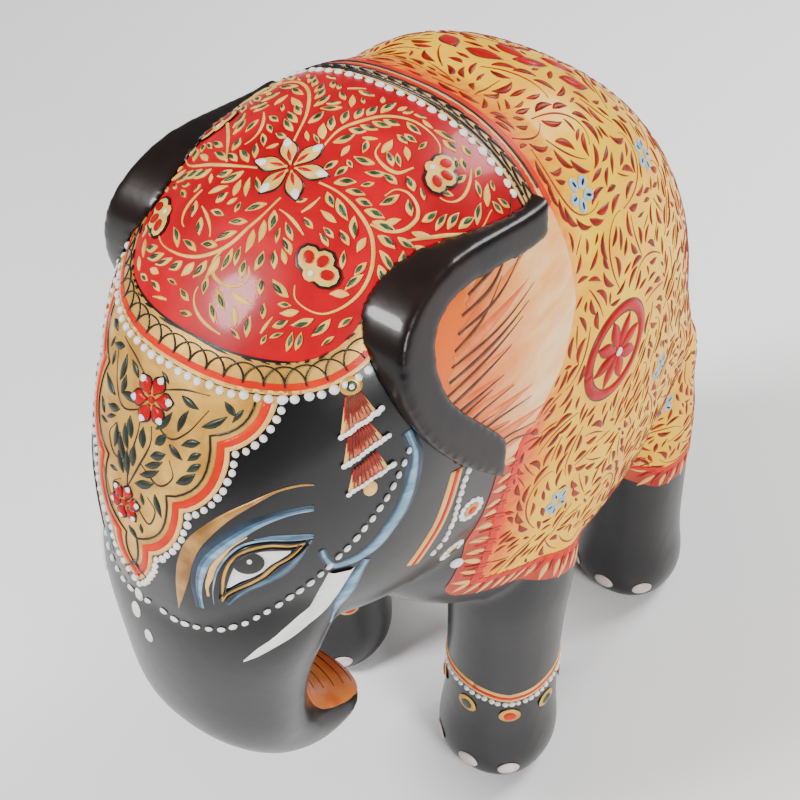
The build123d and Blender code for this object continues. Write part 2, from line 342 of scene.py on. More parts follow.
def side_outline(outline, sign=0):
    """Distance to an outline drawn in the side view (y, z), on one side of the elephant or both."""
    flat = SKIN[:, 1:3] - np.array([SHIFT, 0])
    distance = polygon_distance(flat, outline)
    return np.maximum(distance, -sign * SKIN[:, 0]) if sign else distance


LEAST_SLOPE = 0.15


def surface_distance(values):
    """Turns a field given over space into distance along the skin near its zero line."""
    a, b, c = (SKIN[SKIN_FACES[:, i]] for i in range(3))
    u, v = b - a, c - a
    at_a, at_b, at_c = (values[SKIN_FACES[:, i]] for i in range(3))
    du, dv = at_b - at_a, at_c - at_a
    uu, uv, vv = (u * u).sum(1), (u * v).sum(1), (v * v).sum(1)
    det = np.maximum(uu * vv - uv * uv, 1e-12)
    p, q = (du * vv - dv * uv) / det, (dv * uu - du * uv) / det
    slope = np.linalg.norm(u * p[:, None] + v * q[:, None], axis=1)
    total, weight = np.zeros(len(SKIN)), np.zeros(len(SKIN))
    for i in range(3):
        np.add.at(total, SKIN_FACES[:, i], slope)
        np.add.at(weight, SKIN_FACES[:, i], 1)
    return values / np.maximum(total / np.maximum(weight, 1), LEAST_SLOPE)


# ---------------------------------------------------------------- strokes

UP, LEFT, AHEAD, DOWN = Vector((0, 0, 1)), Vector((1, 0, 0)), Vector((0, -1, 0)), Vector((0, 0, -1))


SINK = 0.05
SHOULDER = 0.9
FULL_CROWN_WIDTH, LEAST_WIDTH = 0.4, 0.02
DOME_RINGS = ((1.0, -0.1), (0.94, 0.35), (0.6, 0.85))


class Ink:
    """Gathers many brush strokes of one colour into one mesh that lies on the skin."""

    def __init__(self, lift):
        self.vertices, self.faces, self.lift = [], [], lift

    def ribbon(self, path, widths, crown=0.10):
        """A stroke along (place, normal) samples, with its half width at each, raised along its middle."""
        if len(path) < 2:
            return
        rows = []
        last = len(path) - 1
        for i, (place, normal) in enumerate(path):
            ahead = path[min(i + 1, last)][0] - path[max(i - 1, 0)][0]
            across = normal.cross(ahead).normalized() * max(widths[i], LEAST_WIDTH)
            height = self.lift + crown * min(1, widths[i] / FULL_CROWN_WIDTH)
            rows.append(len(self.vertices))
            self.vertices += [place - across - normal * SINK,
                              place - across * SHOULDER + normal * self.lift,
                              place + normal * height,
                              place + across * SHOULDER + normal * self.lift,
                              place + across - normal * SINK]
        for a, b in zip(rows, rows[1:]):
            self.faces += [(a + k, a + k + 1, b + k + 1, b + k) for k in range(4)]
        for row, flip in ((rows[0], False), (rows[-1], True)):
            cap = [row + k for k in range(5)]
            self.faces.append(tuple(cap if flip else cap[::-1]))

    def dome(self, place, normal, along, radius, stretch, height, sides=10):
        """A round or oval drop of paint."""
        along = (along - normal * along.dot(normal)).normalized()
        across = normal.cross(along)
        first = len(self.vertices)
        for reach, rise in DOME_RINGS:
            for k in range(sides):
                turn = 2 * math.pi * k / sides
                long_way = along * (radius * stretch * reach * math.cos(turn))
                short_way = across * (radius * reach * math.sin(turn))
                self.vertices.append(place + (long_way + short_way) + normal * (self.lift + height * rise))
        self.vertices.append(place + normal * (self.lift + height))
        for ring in range(len(DOME_RINGS) - 1):
            for k in range(sides):
                a, b = first + ring * sides + k, first + ring * sides + (k + 1) % sides
                self.faces.append((a, b, b + sides, a + sides))
        top = first + len(DOME_RINGS) * sides
        self.faces += [(top - sides + k, top - sides + (k + 1) % sides, top) for k in range(sides)]

    def piece(self, name, material, slot, replaces=()):
        """Turns the strokes into one piece."""
        add_piece(name, self.vertices, self.faces, material, slot, replaces)


class Spot:
    """A flat drawing plane held against the skin: u runs along a chosen direction and v square to it."""

    REACH = 12

    def __init__(self, place, across):
        self.place, self.normal = drop(place)
        self.u = (across - self.normal * across.dot(self.normal)).normalized()
        self.v = self.normal.cross(self.u)

    def heading(self, turn):
        """The direction in the plane at an angle from u."""
        return self.u * math.cos(turn) + self.v * math.sin(turn)

    def around(self, turn, reach, rise=None):
        """The skin at an angle from u, on a circle or on an ellipse of two reaches."""
        return self(reach * math.cos(turn), (reach if rise is None else rise) * math.sin(turn))

    def __call__(self, u, v):
        """The skin under a place in the plane, with its normal."""
        start = self.place + self.u * u + self.v * v + self.normal * self.REACH
        hit, _, face, _ = SURFACE.ray_cast(start, -self.normal)
        if hit is None:
            return drop(self.place + self.u * u + self.v * v)
        return hit, smooth_normal(hit, face)


def along_points(points, step=0.6, closed=False):
    """A smooth curve through 2-D or 3-D points, sampled about one step apart."""
    points = [Vector(p) for p in points]
    if closed:
        points = [points[-1]] + points + points[:2]
    else:
        points = [points[0] * 2 - points[1]] + points + [points[-1] * 2 - points[-2]]
    result = []
    for a, b, c, d in zip(points, points[1:], points[2:], points[3:]):
        count = max(2, math.ceil((c - b).length / step))
        for i in range(count):
            t = i / count
            result.append(0.5 * (2 * b + (c - a) * t + (2 * a - 5 * b + 4 * c - d) * t * t
                                 + (3 * b - a - 3 * c + d) * t ** 3))
    result.append(points[-2].copy())
    return result


def on_skin(points, step=0.6):
    """A smooth curve through places near the skin, laid on it."""
    return [drop(p) for p in along_points(points, step)]


def even(path, step):
    """Places one step apart along a laid path, with the normal and the direction at each."""
    result, gone, target = [], 0.0, 0.0
    for (a, na), (b, nb) in zip(path, path[1:]):
        length = (b - a).length
        while length > 0 and target <= gone + length:
            t = (target - gone) / length
            result.append((a.lerp(b, t), na.lerp(nb, t).normalized(), (b - a).normalized()))
            target += step
        gone += length
    return result


def tapered(count, width, start=0.25, end=0.0, belly=0.5):
    """Half widths for a brush stroke that swells to its belly and thins to its ends."""
    result = []
    for i in range(count):
        t = i / max(count - 1, 1)
        swell = math.sin(math.pi * t ** (math.log(0.5) / math.log(belly)))
        floor = start + (end - start) * t
        result.append(width * max(swell, floor))
    return result


def walk(place, normal, ahead, length, bend, step=0.5):
    """A path over the skin that turns by bend radians per millimetre: a number, or a rule along the path."""
    path = [(place, normal)]
    count = max(2, round(length / step))
    for i in range(count):
        turn = bend(i / count) if callable(bend) else bend
        ahead = Matrix.Rotation(turn * step, 3, normal) @ ahead
        place, normal = drop(place + ahead * step)
        ahead = (ahead - normal * ahead.dot(normal)).normalized()
        path.append((place, normal))
    return path


LEAF_STEPS = 7


def leaf(ink, place, normal, ahead, length, width, bend):
    """One leaf-shaped stroke, widest before its middle."""
    path = walk(place, normal, ahead, length, bend, length / LEAF_STEPS)
    ink.ribbon(path, tapered(len(path), width / 2, 0.12, 0.0, 0.4))


def beads(ink, path, step, radius, height, stretch=1.0):
    """A row of dots, each a little different, as they are when dropped by hand."""
    hand = random.Random(len(path))
    for place, normal, ahead in even(path, step):
        shift = ahead * hand.uniform(-0.12, 0.12) + normal.cross(ahead) * hand.uniform(-0.1, 0.1)
        size = radius * hand.uniform(0.88, 1.12)
        ink.dome(place + shift * radius * 2, normal, ahead, size, stretch * hand.uniform(0.92, 1.1), height)


def filled(view, outline, lift, grid, depth=0.1):
    """A closed outline drawn in a view as a painted patch with a skirt: its vertices and faces."""
    flat = []
    for start, end in zip(outline, outline[1:] + outline[:1]):
        start, end = Vector(start[:2]), Vector(end[:2])
        parts = max(1, math.ceil((end - start).length / grid))
        flat += [start.lerp(end, i / parts) for i in range(parts)]
    count = len(flat)
    low = np.min([tuple(p) for p in flat], axis=0)
    high = np.max([tuple(p) for p in flat], axis=0)
    xs, ys = np.arange(low[0], high[0], grid), np.arange(low[1], high[1], grid)
    net = np.array([(x + (grid / 2 if j % 2 else 0), y) for j, y in enumerate(ys) for x in xs])
    if len(net):
        inner = net[polygon_distance(net, [tuple(p) for p in flat]) < -grid * 0.45]
        flat += [Vector(p) for p in inner]
    places, _, faces, *_ = delaunay_2d_cdt(flat, [], [list(range(count))], 1, 1e-5)
    on_surface = [view(p[0], p[1]) for p in places]
    vertices = [place + normal * lift for place, normal in on_surface]
    edges = dict.fromkeys((a, b) for face in faces for a, b in zip(face, face[1:] + face[:1]))
    faces = [tuple(face) for face in faces]
    border = [(a, b) for a, b in edges if (b, a) not in edges]
    low_index = {}
    for a, b in border:
        for v in (a, b):
            if v not in low_index:
                low_index[v] = len(vertices)
                place, normal = on_surface[v]
                vertices += [place + normal * lift, place - normal * depth]
        faces.append((low_index[b], low_index[a], low_index[a] + 1, low_index[b] + 1))
    return vertices, faces


# ---------------------------------------------------------------- wood


def wood():
    """The block, and the ears and the tail as softened copies of their CAD shapes."""
    add_piece("body_skin", SKIN, SKIN_FACES, black, "black_lacquer", ("carved_body",))
    for _, word in SIDES:
        rim = remeshed(f"ear_{word}", 0.38, 34)
        add_piece(f"ear_rim_{word}", *rim, ear_black, "black_lacquer", (f"ear_{word}",))
    add_piece("tail_lock", *remeshed("tail", 0.5, 4), black, "black_lacquer", ("tail",))


# ---------------------------------------------------------------- cap

CAP_BEADS_Z, CAP_BEADS_Y, CAP_SIDE_Y, CAP_RISE = 130.2, -50.5, -38.5, 0.029
CAP_BACK_BEADS = -10.9


def bead_height(y):
    """Height of the row of beads in front of the cap: level across the brow, rising towards the ears."""
    return CAP_BEADS_Z + CAP_RISE * np.maximum(0, np.minimum(y, CAP_SIDE_Y) - CAP_BEADS_Y) ** 2


def front_edge():
    """Distance along the skin above the row of beads that edges the cap in front."""
    return surface_distance(SKIN[:, 2] - bead_height(SKIN[:, 1] - SHIFT))


def back_edge():
    """Distance along the skin behind the row of beads that edges the cap at the back."""
    return surface_distance(SKIN[:, 1] - SHIFT - CAP_BACK_BEADS)


FRONT, BACK = front_edge(), back_edge()
BAND_FOOT, CAP_FOOT = 118, 136
HEAD = np.maximum(SKIN[:, 1] - SHIFT - CAP_SIDE_Y, BAND_FOOT - SKIN[:, 2])
TOP_SIDE = CAP_FOOT - SKIN[:, 2]
FRONT_STRIPES = {  # name: (paint, from and to above the beads)
    "gold_ground": (gold, 0.55, 4.9),
    "tan_edge": (tan, 0.6, 1.1),
    "stripe": (red_orange, 1.1, 2.0),
    "top_line": (line_black, 4.6, 5.0),
}
BACK_STRIPES = {  # name: (paint, from and to behind the beads)
    "gold_ground": (tan, 0.7, 6.6),
    "dark_line": (line_black, 0.8, 1.35),
    "stripe": (red_orange, 3.6, 4.5),
    "second_stripe": (red_orange, 5.5, 6.6),
}


def cap_stripes(end, stripes, distance, limit):
    """The painted band at one end of the cap, each stripe a little higher than the one before."""
    lift = 0.16
    for name, (material, low, high) in stripes.items():
        band = np.maximum.reduce([low - distance, distance - high, limit])
        replaced = (f"cap_band_{end}",) if name == "gold_ground" else ()
        add_piece(f"cap_{end}_{name}", *region(band, lift), material, "gold_paint", replaced)
        lift += 0.05


def cap():
    """The red ground of the cap and its two bands."""
    crown = np.maximum.reduce([-FRONT + 4.6, BACK - 0.2, TOP_SIDE - 2])
    add_piece("cap_paint", *region(crown, 0.12), crimson, "crimson_paint", ("head_cap",))
    cap_stripes("front", FRONT_STRIPES, FRONT, HEAD)
    cap_stripes("back", BACK_STRIPES, BACK, TOP_SIDE)


# ---------------------------------------------------------------- cloth

CLOTH = [(-5, 160), (-5, 136), (-4.4, 130), (-4, 121), (-8, 112), (-17, 104), (-21.5, 73), (43, 44), (80, 44),
         (80, 160)]
FRINGE_DROP, FRINGE_TUCK, FRINGE_TOP = 5.2, 1.2, 104
RED_LINE_DROP, RED_LINE_TUCK, RED_LINE_TOP = 1.0, 0.4, 106


def cloth():
    """The yellow cloth, the ground of its fringe and the red line between them."""
    edge = side_outline(CLOTH)
    add_piece("cloth_paint", *region(edge, 0.12), yellow, "yellow_paint", ("saddle_cloth",))
    border = surface_distance(edge)
    below = np.maximum.reduce([border - FRINGE_DROP, -border - FRINGE_TUCK, SKIN[:, 2] - FRINGE_TOP])
    add_piece("cloth_fringe_ground", *region(below, 0.10), fringe_red, "pink_paint", ("saddle_fringe",))
    red_line = np.maximum.reduce([border - RED_LINE_DROP, -border - RED_LINE_TUCK, SKIN[:, 2] - RED_LINE_TOP])
    add_piece("cloth_red_line", *region(red_line, 0.22), red_orange, "red_paint")


# ---------------------------------------------------------------- drawing views


def from_front(x, z):
    """The skin straight behind a place in the front view, with its normal."""
    return cast(Vector((x, -150, z)), Vector((0, 1, 0)))


def from_above(x, y):
    """The skin straight under a place in the view from above, with its normal."""
    return cast(Vector((x, y + SHIFT, 250)), DOWN)


def from_side(side):
    """A view of the skin straight from one side, at (y, z) in the drawing."""
    return lambda y, z: cast(at(side * 150, y, z), Vector((-side, 0, 0)))


MISSED_REACH = 110


def cast(start, direction):
    """The skin along a line of sight, with its normal, or the skin nearest to where a missed one ends."""
    hit, _, face, _ = SURFACE.ray_cast(start, direction)
    if hit is None:
        return drop(start + direction * MISSED_REACH)
    return hit, smooth_normal(hit, face)


LEG_REACH = 15


def round_leg(x, y, z, turn):
    """The skin of a leg seen from outside, at an angle from straight ahead round its middle."""
    ahead = Vector((math.sin(turn), -math.cos(turn), 0))
    return cast(at(x, y, z) + ahead * LEG_REACH, -ahead)


def laid(points, side, step=0.6):
    """A smooth curve through places in the drawing, laid on the elephant's left, or mirrored to its right."""
    return on_skin([at(side * x, y, z) for x, y, z in points], step)


def drawn(view, points, step=0.6):
    """A smooth curve through places in a view, laid on the skin."""
    return [view(p.x, p.y) for p in along_points([(*p, 0) for p in points], step)]


def on_region(values, place, margin):
    """True where the skin at a place lies inside a region by more than a margin."""
    face = SURFACE.find_nearest(place)[2]
    return values[SKIN_FACES[face][0]] < -margin


# ---------------------------------------------------------------- leaves and vines


CELL = 4
REGION_MARGIN = 0.9
VINE_LEAN, VINE_BARE, LEAF_OFFSET = 0.85, 0.8, 0.75
LEAF_CHECKS, LEAF_BLOCKS = (3, 5, 7), (2, 4, 6)
MARKED_SHARE = 0.85


class Foliage:
    """Leaves and stems that keep clear of one another inside one region."""

    def __init__(self, values, stems, leaves, marks, seed, length, width, clear, curl=0.16):
        self.values, self.stems, self.leaves, self.marks = values, stems, leaves, marks
        self.random = random.Random(seed)
        self.length, self.width, self.clear, self.curl = length, width, clear, curl
        self.taken = {}

    def cell(self, place):
        """The grid cell that a place lies in."""
        return tuple(int(math.floor(c / CELL)) for c in place)

    def block(self, place, radius):
        """Keeps a ball free of further leaves."""
        self.taken.setdefault(self.cell(place), []).append((place.copy(), radius))

    def free(self, place, radius):
        """True where a ball meets no blocked one."""
        i, j, k = self.cell(place)
        for a in (i - 1, i, i + 1):
            for b in (j - 1, j, j + 1):
                for c in (k - 1, k, k + 1):
                    for other, size in self.taken.get((a, b, c), ()):
                        if (other - place).length < radius + size:
                            return False
        return True

    def open_at(self, place, radius):
        """True where a ball lies inside the region and meets no blocked one."""
        return on_region(self.values, place, REGION_MARGIN) and self.free(place, radius)

    def leaf(self, place, normal, ahead, size, bend=None):
        """One leaf with a darker stroke on it, if there is room."""
        length = self.length * size * self.random.uniform(0.8, 1.25)
        bend = self.random.uniform(-self.curl, self.curl) if bend is None else bend
        path = walk(place, normal, ahead, length, bend, length / LEAF_STEPS)
        if not all(self.open_at(path[k][0], self.clear * 0.45) for k in LEAF_CHECKS):
            return
        width = self.width * size * self.random.uniform(0.85, 1.15)
        self.leaves.ribbon(path, tapered(len(path), width / 2, 0.12, 0.05, 0.45), 0.08)
        if self.marks and self.random.random() < MARKED_SHARE:
            across = normal.cross(ahead) * width * self.random.uniform(-0.16, 0.16)
            inner = [(p + across, n) for p, n in path[2:7]]
            self.marks.ribbon(inner, tapered(5, width * 0.29, 0.2, 0.1, 0.5), 0.05)
        for k in LEAF_BLOCKS:
            self.block(path[k][0], self.clear * 0.42)

    def vine(self, path, width, gap, size=1.0):
        """A stem with leaves up both sides."""
        self.stems.ribbon(path, tapered(len(path), width, 0.55, 0.35, 0.4), 0.06)
        for place, _ in path[::2]:
            self.block(place, 0.3)
        for number, (place, normal, ahead) in enumerate(even(path, gap)):
            if number * gap < VINE_BARE:
                continue
            for sign in (1, -1):
                lean = sign * VINE_LEAN * self.random.uniform(0.75, 1.15)
                out = Matrix.Rotation(lean, 3, normal) @ ahead
                foot = place + normal.cross(ahead) * (sign * LEAF_OFFSET)
                self.leaf(foot, normal, out, size, -sign * VINE_LEAN * self.curl * 0.9)

    def tendril(self, place, normal, ahead, length, turn, **options):
        """A vine that winds up towards its end, cut short where there is no room."""
        path = walk(place, normal, ahead, length, lambda t: turn * (0.35 + 2.3 * t * t))
        count = 0
        while count < len(path) and self.open_at(path[count][0], 0.5):
            count += 1
        if count * 0.5 < 3:
            return
        self.vine(path[:count], **options)

    def spots(self, gap):
        """Places spread over the region in a fixed shuffled order."""
        order = list(np.where(self.values < -REGION_MARGIN)[0])
        self.random.shuffle(order)
        return [(Vector(SKIN[v]), SKIN_TREE_NORMALS[v]) for v in order[::gap]]

    def grow(self, tries, length, turn, **options):
        """Winding vines from shuffled places, each with a length and a turn from the ranges given."""
        for place, normal in self.spots(3)[:tries]:
            if self.free(place, 2.2):
                ahead = normal.orthogonal().normalized()
                ahead = Matrix.Rotation(self.random.uniform(0, 6.3), 3, normal) @ ahead
                sign = self.random.choice((-1, 1))
                reach, bend = self.random.uniform(*length), self.random.uniform(*turn)
                self.tendril(place, normal, ahead, reach, sign * bend, **options)

    def fill(self, size, swirl=0.05):
        """Single leaves in what is left, turning together as if brushed by one hand."""
        for place, normal in self.spots(1):
            if self.free(place, self.clear * 0.75):
                across = math.sin(place.x * swirl * 1.7 + 1.3)
                along = math.sin(place.y * swirl + place.z * swirl)
                upward = (UP - normal * UP.dot(normal) + AHEAD * 1e-3).normalized()
                ahead = Matrix.Rotation(2.6 * across + 2.2 * along, 3, normal) @ upward
                self.leaf(place, normal, ahead, size)


PETAL_STEPS = 9
OUTLINE_WIDTH, OUTLINE_REACH = 0.22, 0.25


def flower(spot, ground, petals, outline, tips, count, radius, width, turn, start=0.5):
    """A ring of fat petals with an outline, and with light tips and a ground stroke on each if given."""
    for k in range(count):
        ahead = spot.heading(turn + 2 * math.pi * k / count)
        place, normal = drop(spot.place + ahead * start)
        length = radius - start
        path = walk(place, normal, ahead, length, 0.0, length / PETAL_STEPS)
        length += OUTLINE_REACH
        longer = walk(place, normal, ahead, length, 0.0, length / PETAL_STEPS)
        outline.ribbon(longer, tapered(len(longer), width / 2 + OUTLINE_WIDTH, 0.15, 0.1, 0.55), 0.02)
        petals.ribbon(path, tapered(len(path), width / 2, 0.12, 0.1, 0.55), 0.12)
        if tips:
            tips.ribbon(path[6:], tapered(len(path[6:]), width * 0.28, 0.4, 0.2, 0.4), 0.05)
        if ground:
            ground.ribbon(path[1:6], tapered(5, width * 0.13, 0.3, 0.1, 0.4), 0.05)


# ---------------------------------------------------------------- cap painting

CAP_FIELD = np.maximum.reduce([-FRONT + 5.6, BACK + 0.8, TOP_SIDE - 2])
CAP_VINES = [
    [(4.5, -30.7), (7.5, -30.5), (10.7, -31), (13.5, -32), (15.2, -33.8), (16, -35.8), (16, -38),
     (15.2, -40.2), (13.8, -42), (12, -42.8), (10.2, -42.8), (9.4, -41.8)],
    [(12.8, -31.2), (14.5, -30.5), (15.9, -28.7), (16.2, -26.3), (15.3, -25), (13.7, -24.7), (12.4, -25.6),
     (12, -27.2)],
    [(1.5, -26.6), (1.3, -22.7), (2.4, -19.8), (4.2, -16.8), (7, -15), (9.8, -14.9), (12, -15.7),
     (13.1, -17.2)],
    [(12.1, -21.4), (11.3, -23.5), (9.6, -24), (7.5, -23.2), (6.9, -21.4)],
    [(1.5, -34.6), (0.8, -37.4), (0, -39.4), (-0.8, -41.4), (-2.2, -43), (-4.4, -44.2), (-7, -44.6),
     (-10, -44.2), (-12, -43.2), (-13.2, -41.8)],
    [(-1.5, -42.6), (-1.9, -44), (-0.8, -45.2), (1.2, -45.5), (3, -44.9), (3.7, -43.8), (3, -42.8)],
    [(-4.1, -32.4), (-7.4, -33.1), (-10.7, -33.5), (-15, -33.5), (-18.5, -31)],
    [(-2.5, -27), (-4.5, -22), (-8, -17.5), (-12, -15.5), (-15.5, -16.5), (-16.5, -19.5), (-14.5, -21.5)],
    [(-9, -32.8), (-13, -28), (-17, -24.5), (-21, -24)],
    [(16.5, -30), (19, -25), (21, -20), (20.5, -16)],
]
CAP_FLOWER, CAP_FLOWER_ROOM, EIGHTH_TURN = (0, -30.6, 147), ((0, 1.6), (2.6, 1.5)), 0.785
HALF_FLOWERS = ((13.3, -19.5, 146, 0.3), (10.2, -39.6, 141, 1.3), (-13.4, -40.2, 140, -2.4),
                (-15.5, -26, 143, 2.6))
HALF_FLOWER_SIZE, HALF_FLOWER_ROOM = 3.4, 2.6


def half_flower(spot, gold_ink, outline_ink, dot_ink, red_ink, turn):
    """A fan of three scallops with a dark rim and a white eye."""
    size = HALF_FLOWER_SIZE
    for angle in (-0.9, 0.0, 0.9):
        ahead = spot.heading(angle + turn)
        place, normal = drop(spot.place + ahead * size * 0.55)
        outline_ink.dome(place, normal, ahead, size * 0.52, 1.15, 0.06)
        gold_ink.dome(place, normal, ahead, size * 0.42, 1.15, 0.10)
        heart, normal = drop(spot.place + ahead * size * 0.6)
        red_ink.dome(heart + normal * 0.12, normal, ahead, size * 0.2, 1.3, 0.06)
    place, normal = drop(spot.place)
    gold_ink.dome(place, normal, spot.u, size * 0.3, 1, 0.1)
    dot_ink.dome(place, normal, spot.u, 0.38, 1, 0.15)


def cap_painting():
    """The flowers, vines and leaves on the red of the cap."""
    stems, leaves, marks = Ink(0.20), Ink(0.24), Ink(0.36)
    petals, outline, tips, strokes = Ink(0.30), Ink(0.24), Ink(0.44), Ink(0.42)
    garden = Foliage(CAP_FIELD, stems, leaves, marks, 11, 2.7, 1.15, 0.95)
    centre = Spot(at(*CAP_FLOWER), LEFT)
    for reach, radius in CAP_FLOWER_ROOM:
        for k in range(8):
            garden.block(centre.place + centre.heading(k * EIGHTH_TURN) * reach, radius)
    flower(centre, strokes, petals, outline, tips, 6, 5.0, 2.3, 0.25)
    for x, y, z, turn in HALF_FLOWERS:
        spot = Spot(at(x, y, z), LEFT)
        garden.block(spot.place, HALF_FLOWER_ROOM)
        half_flower(spot, petals, outline, tips, strokes, turn)
    for points in CAP_VINES:
        garden.vine(drawn(from_above, points, 0.5), 0.27, 1.7)
    garden.grow(900, (6, 12), (0.14, 0.3), width=0.24, gap=1.55, size=0.85)
    garden.fill(0.85)
    garden.fill(0.6, 0.11)
    for ink, name, material in ((stems, "stems", vine_tan), (leaves, "leaves", vine_tan),
                                (marks, "leaf_marks", leaf_green), (outline, "flower_outlines", line_black),
                                (petals, "petals", vine_tan), (strokes, "petal_strokes", red),
                                (tips, "petal_tips", white)):
        ink.piece(f"cap_{name}", material, "crimson_paint")


def front_line(offset, reach, step=0.7):
    """The path across the forehead at a height above the row of beads."""
    path = []
    count = round(2 * reach / step)
    for i in range(count + 1):
        x = reach * math.sin(math.pi / 2 * (2 * i / count - 1))
        y = CAP_BEADS_Y
        for _ in range(8):
            hit, normal = from_front(x, bead_height(y) + offset)
            y = 0.5 * y + 0.5 * (hit.y - SHIFT)
        path.append((hit, normal))
    return path


def back_line(offset, step, bends=(-10, 0, 10)):
    """The path across the head at a distance behind the cap's back row of beads."""
    y = CAP_BACK_BEADS + offset
    return drawn(from_above, [(x, y) for x in (-21, *bends, 21)], step)


ARCH_GAP, ARCH_RISE = 2.6, 2.35


def cap_edges():
    """The beads at both ends of the cap, the arches on its front band and the twist on its back band."""
    row = Ink(0.05)
    beads(row, front_line(0.0, 21), 1.6, 0.6, 0.5)
    row.piece("cap_beads_white_front", white, "white_paint", ("cap_beads_front",))
    row = Ink(0.05)
    beads(row, back_line(0, 0.6, (-12, 0, 12)), 1.72, 0.56, 0.5, 1.2)
    row.piece("cap_beads_white_back", white, "white_paint", ("cap_beads_back",))
    lines = Ink(0.34)
    for place, normal, ahead in even(front_line(1.35, 19.5), ARCH_GAP):
        rise = normal.cross(ahead)
        rise = rise if rise.z > 0 else -rise
        arch = [drop(place + ahead * ARCH_GAP * math.cos(t) + rise * ARCH_RISE * math.sin(t))
                for t in np.linspace(0, math.pi, 13)]
        lines.ribbon(arch, [0.1] * len(arch), 0.02)
    for offset in (1.5, 5.1):
        edge = back_line(offset, 0.6)
        lines.ribbon(edge, [0.13] * len(edge), 0.02)
    for place, normal, ahead in even(back_line(2.7, 0.5), 2.4):
        for tilt in (0.5, -0.5):
            leaf(lines, place, normal, Matrix.Rotation(tilt, 3, normal) @ ahead, 2.9, 0.42, -tilt * 0.35)
    lines.piece("cap_band_lines", line_black, "gold_paint")


# ---------------------------------------------------------------- forehead panel

PANEL_CENTRE = -2.4
PANEL_TOP = 130.5
PANEL_CUSPS = [(13.2, PANEL_TOP), (10.1, 124), (5.9, 114.4), (1.4, 105), (PANEL_CENTRE, 97)]
PANEL_DEPTHS = [1.4, 1.8, 1.4, 0.8]


def scallops(inset):
    """Half of the panel's outline in the front view, from top corner to tip, moved inward by an inset."""
    points = []
    for (x0, z0), (x1, z1), depth in zip(PANEL_CUSPS, PANEL_CUSPS[1:], PANEL_DEPTHS):
        length = math.hypot(x1 - x0, z1 - z0)
        out_x, out_z = -(z1 - z0) / length, (x1 - x0) / length
        for k in range(9):
            t = k / 9
            swell = depth * math.sin(math.pi * t) ** 0.75 - inset * (1.2 - 0.3 * math.sin(math.pi * t))
            points.append((x0 + (x1 - x0) * t + out_x * swell, z0 + (z1 - z0) * t + out_z * swell))
    x, z = PANEL_CUSPS[-1]
    points.append((x, z + inset * 1.7))
    return points


def panel_outline(inset):
    """The whole outline in the front view, moved inward by an inset."""
    right = scallops(inset)
    left = [(2 * PANEL_CENTRE - x, z) for x, z in reversed(right[:-1])]
    return right + left


PANEL_FLOWERS = ((-2.3, 126, 3.4), (-3.8, 111, 2.8))
PANEL_VINES = [
    [(0, 125), (4, 123), (6.5, 124.5), (8.5, 127.8)],
    [(0.5, 118), (4, 116.5), (6, 118.5), (5, 120.5)],
    [(1, 127.5), (4.5, 128.8), (8, 129.3)],
    [(0.5, 112), (3, 110), (4, 112.5), (2.5, 114)],
]


def forehead():
    """The gold panel with its stripe, beads, flowers and leaves."""
    ground = filled(from_front, panel_outline(0.0), 0.10, 0.9)
    add_piece("panel_gold", *ground, gold, "gold_paint", ("forehead_panel",))
    stripe, line, rim, row = Ink(0.20), Ink(0.24), Ink(0.16), Ink(0.06)
    for inset, ink, width in ((1.2, stripe, 0.55), (2.6, line, 0.14), (0.35, rim, 0.35)):
        outline = [p for p in panel_outline(inset) if p[1] < PANEL_TOP]
        path = [from_front(x, z) for x, z in outline]
        ink.ribbon(path, [width] * len(path), 0.04)
    path = [from_front(x, z) for x, z in panel_outline(-0.6) if z < PANEL_TOP]
    beads(row, path, 1.4, 0.52, 0.45)
    stripe.piece("panel_stripe", red_orange, "red_paint", ("panel_border",))
    line.piece("panel_line", line_black, "gold_paint")
    rim.piece("panel_rim", tan, "gold_paint")
    row.piece("panel_beads_white", white, "white_paint", ("panel_beads",))
    values = polygon_distance(SKIN[:, [0, 2]], panel_outline(2.4))
    values = np.maximum.reduce([values, SKIN[:, 1] - SHIFT + 42, SKIN[:, 2] - PANEL_TOP])
    stems, leaves, petals, outline, tips = Ink(0.16), Ink(0.18), Ink(0.30), Ink(0.22), Ink(0.42)
    garden = Foliage(values, stems, leaves, None, 5, 3.1, 1.25, 0.95)
    for x, z, radius in PANEL_FLOWERS:
        spot = Spot(from_front(x, z)[0], LEFT)
        garden.block(spot.place, radius * 0.8)
        flower(spot, None, petals, outline, tips, 6, radius, radius * 0.62, 0.3, 0.7)
        petals.dome(spot.place, spot.normal, spot.u, 0.5, 1, 0.2)
    for sign in (1, -1):
        stem = [(-3.6, 113.5), (-3 + sign * 0.8, 117), (-2 + sign * 1.2, 121), (-2.2 + sign, 123.2)]
        garden.vine(drawn(from_front, stem, 0.5), 0.16, 1.8)
        for points in PANEL_VINES:
            mirrored = [(PANEL_CENTRE + sign * x, z) for x, z in points]
            garden.vine(drawn(from_front, mirrored, 0.5), 0.14, 1.7)
    garden.fill(0.9)
    garden.fill(0.6, 0.1)
    stems.piece("panel_stems", line_black, "gold_paint")
    leaves.piece("panel_leaves", dark_leaf, "gold_paint")
    outline.piece("panel_flower_outlines", line_black, "red_paint")
    petals.piece("panel_petals", red, "red_paint")
    tips.piece("panel_petal_lights", white, "white_paint")


# ---------------------------------------------------------------- face

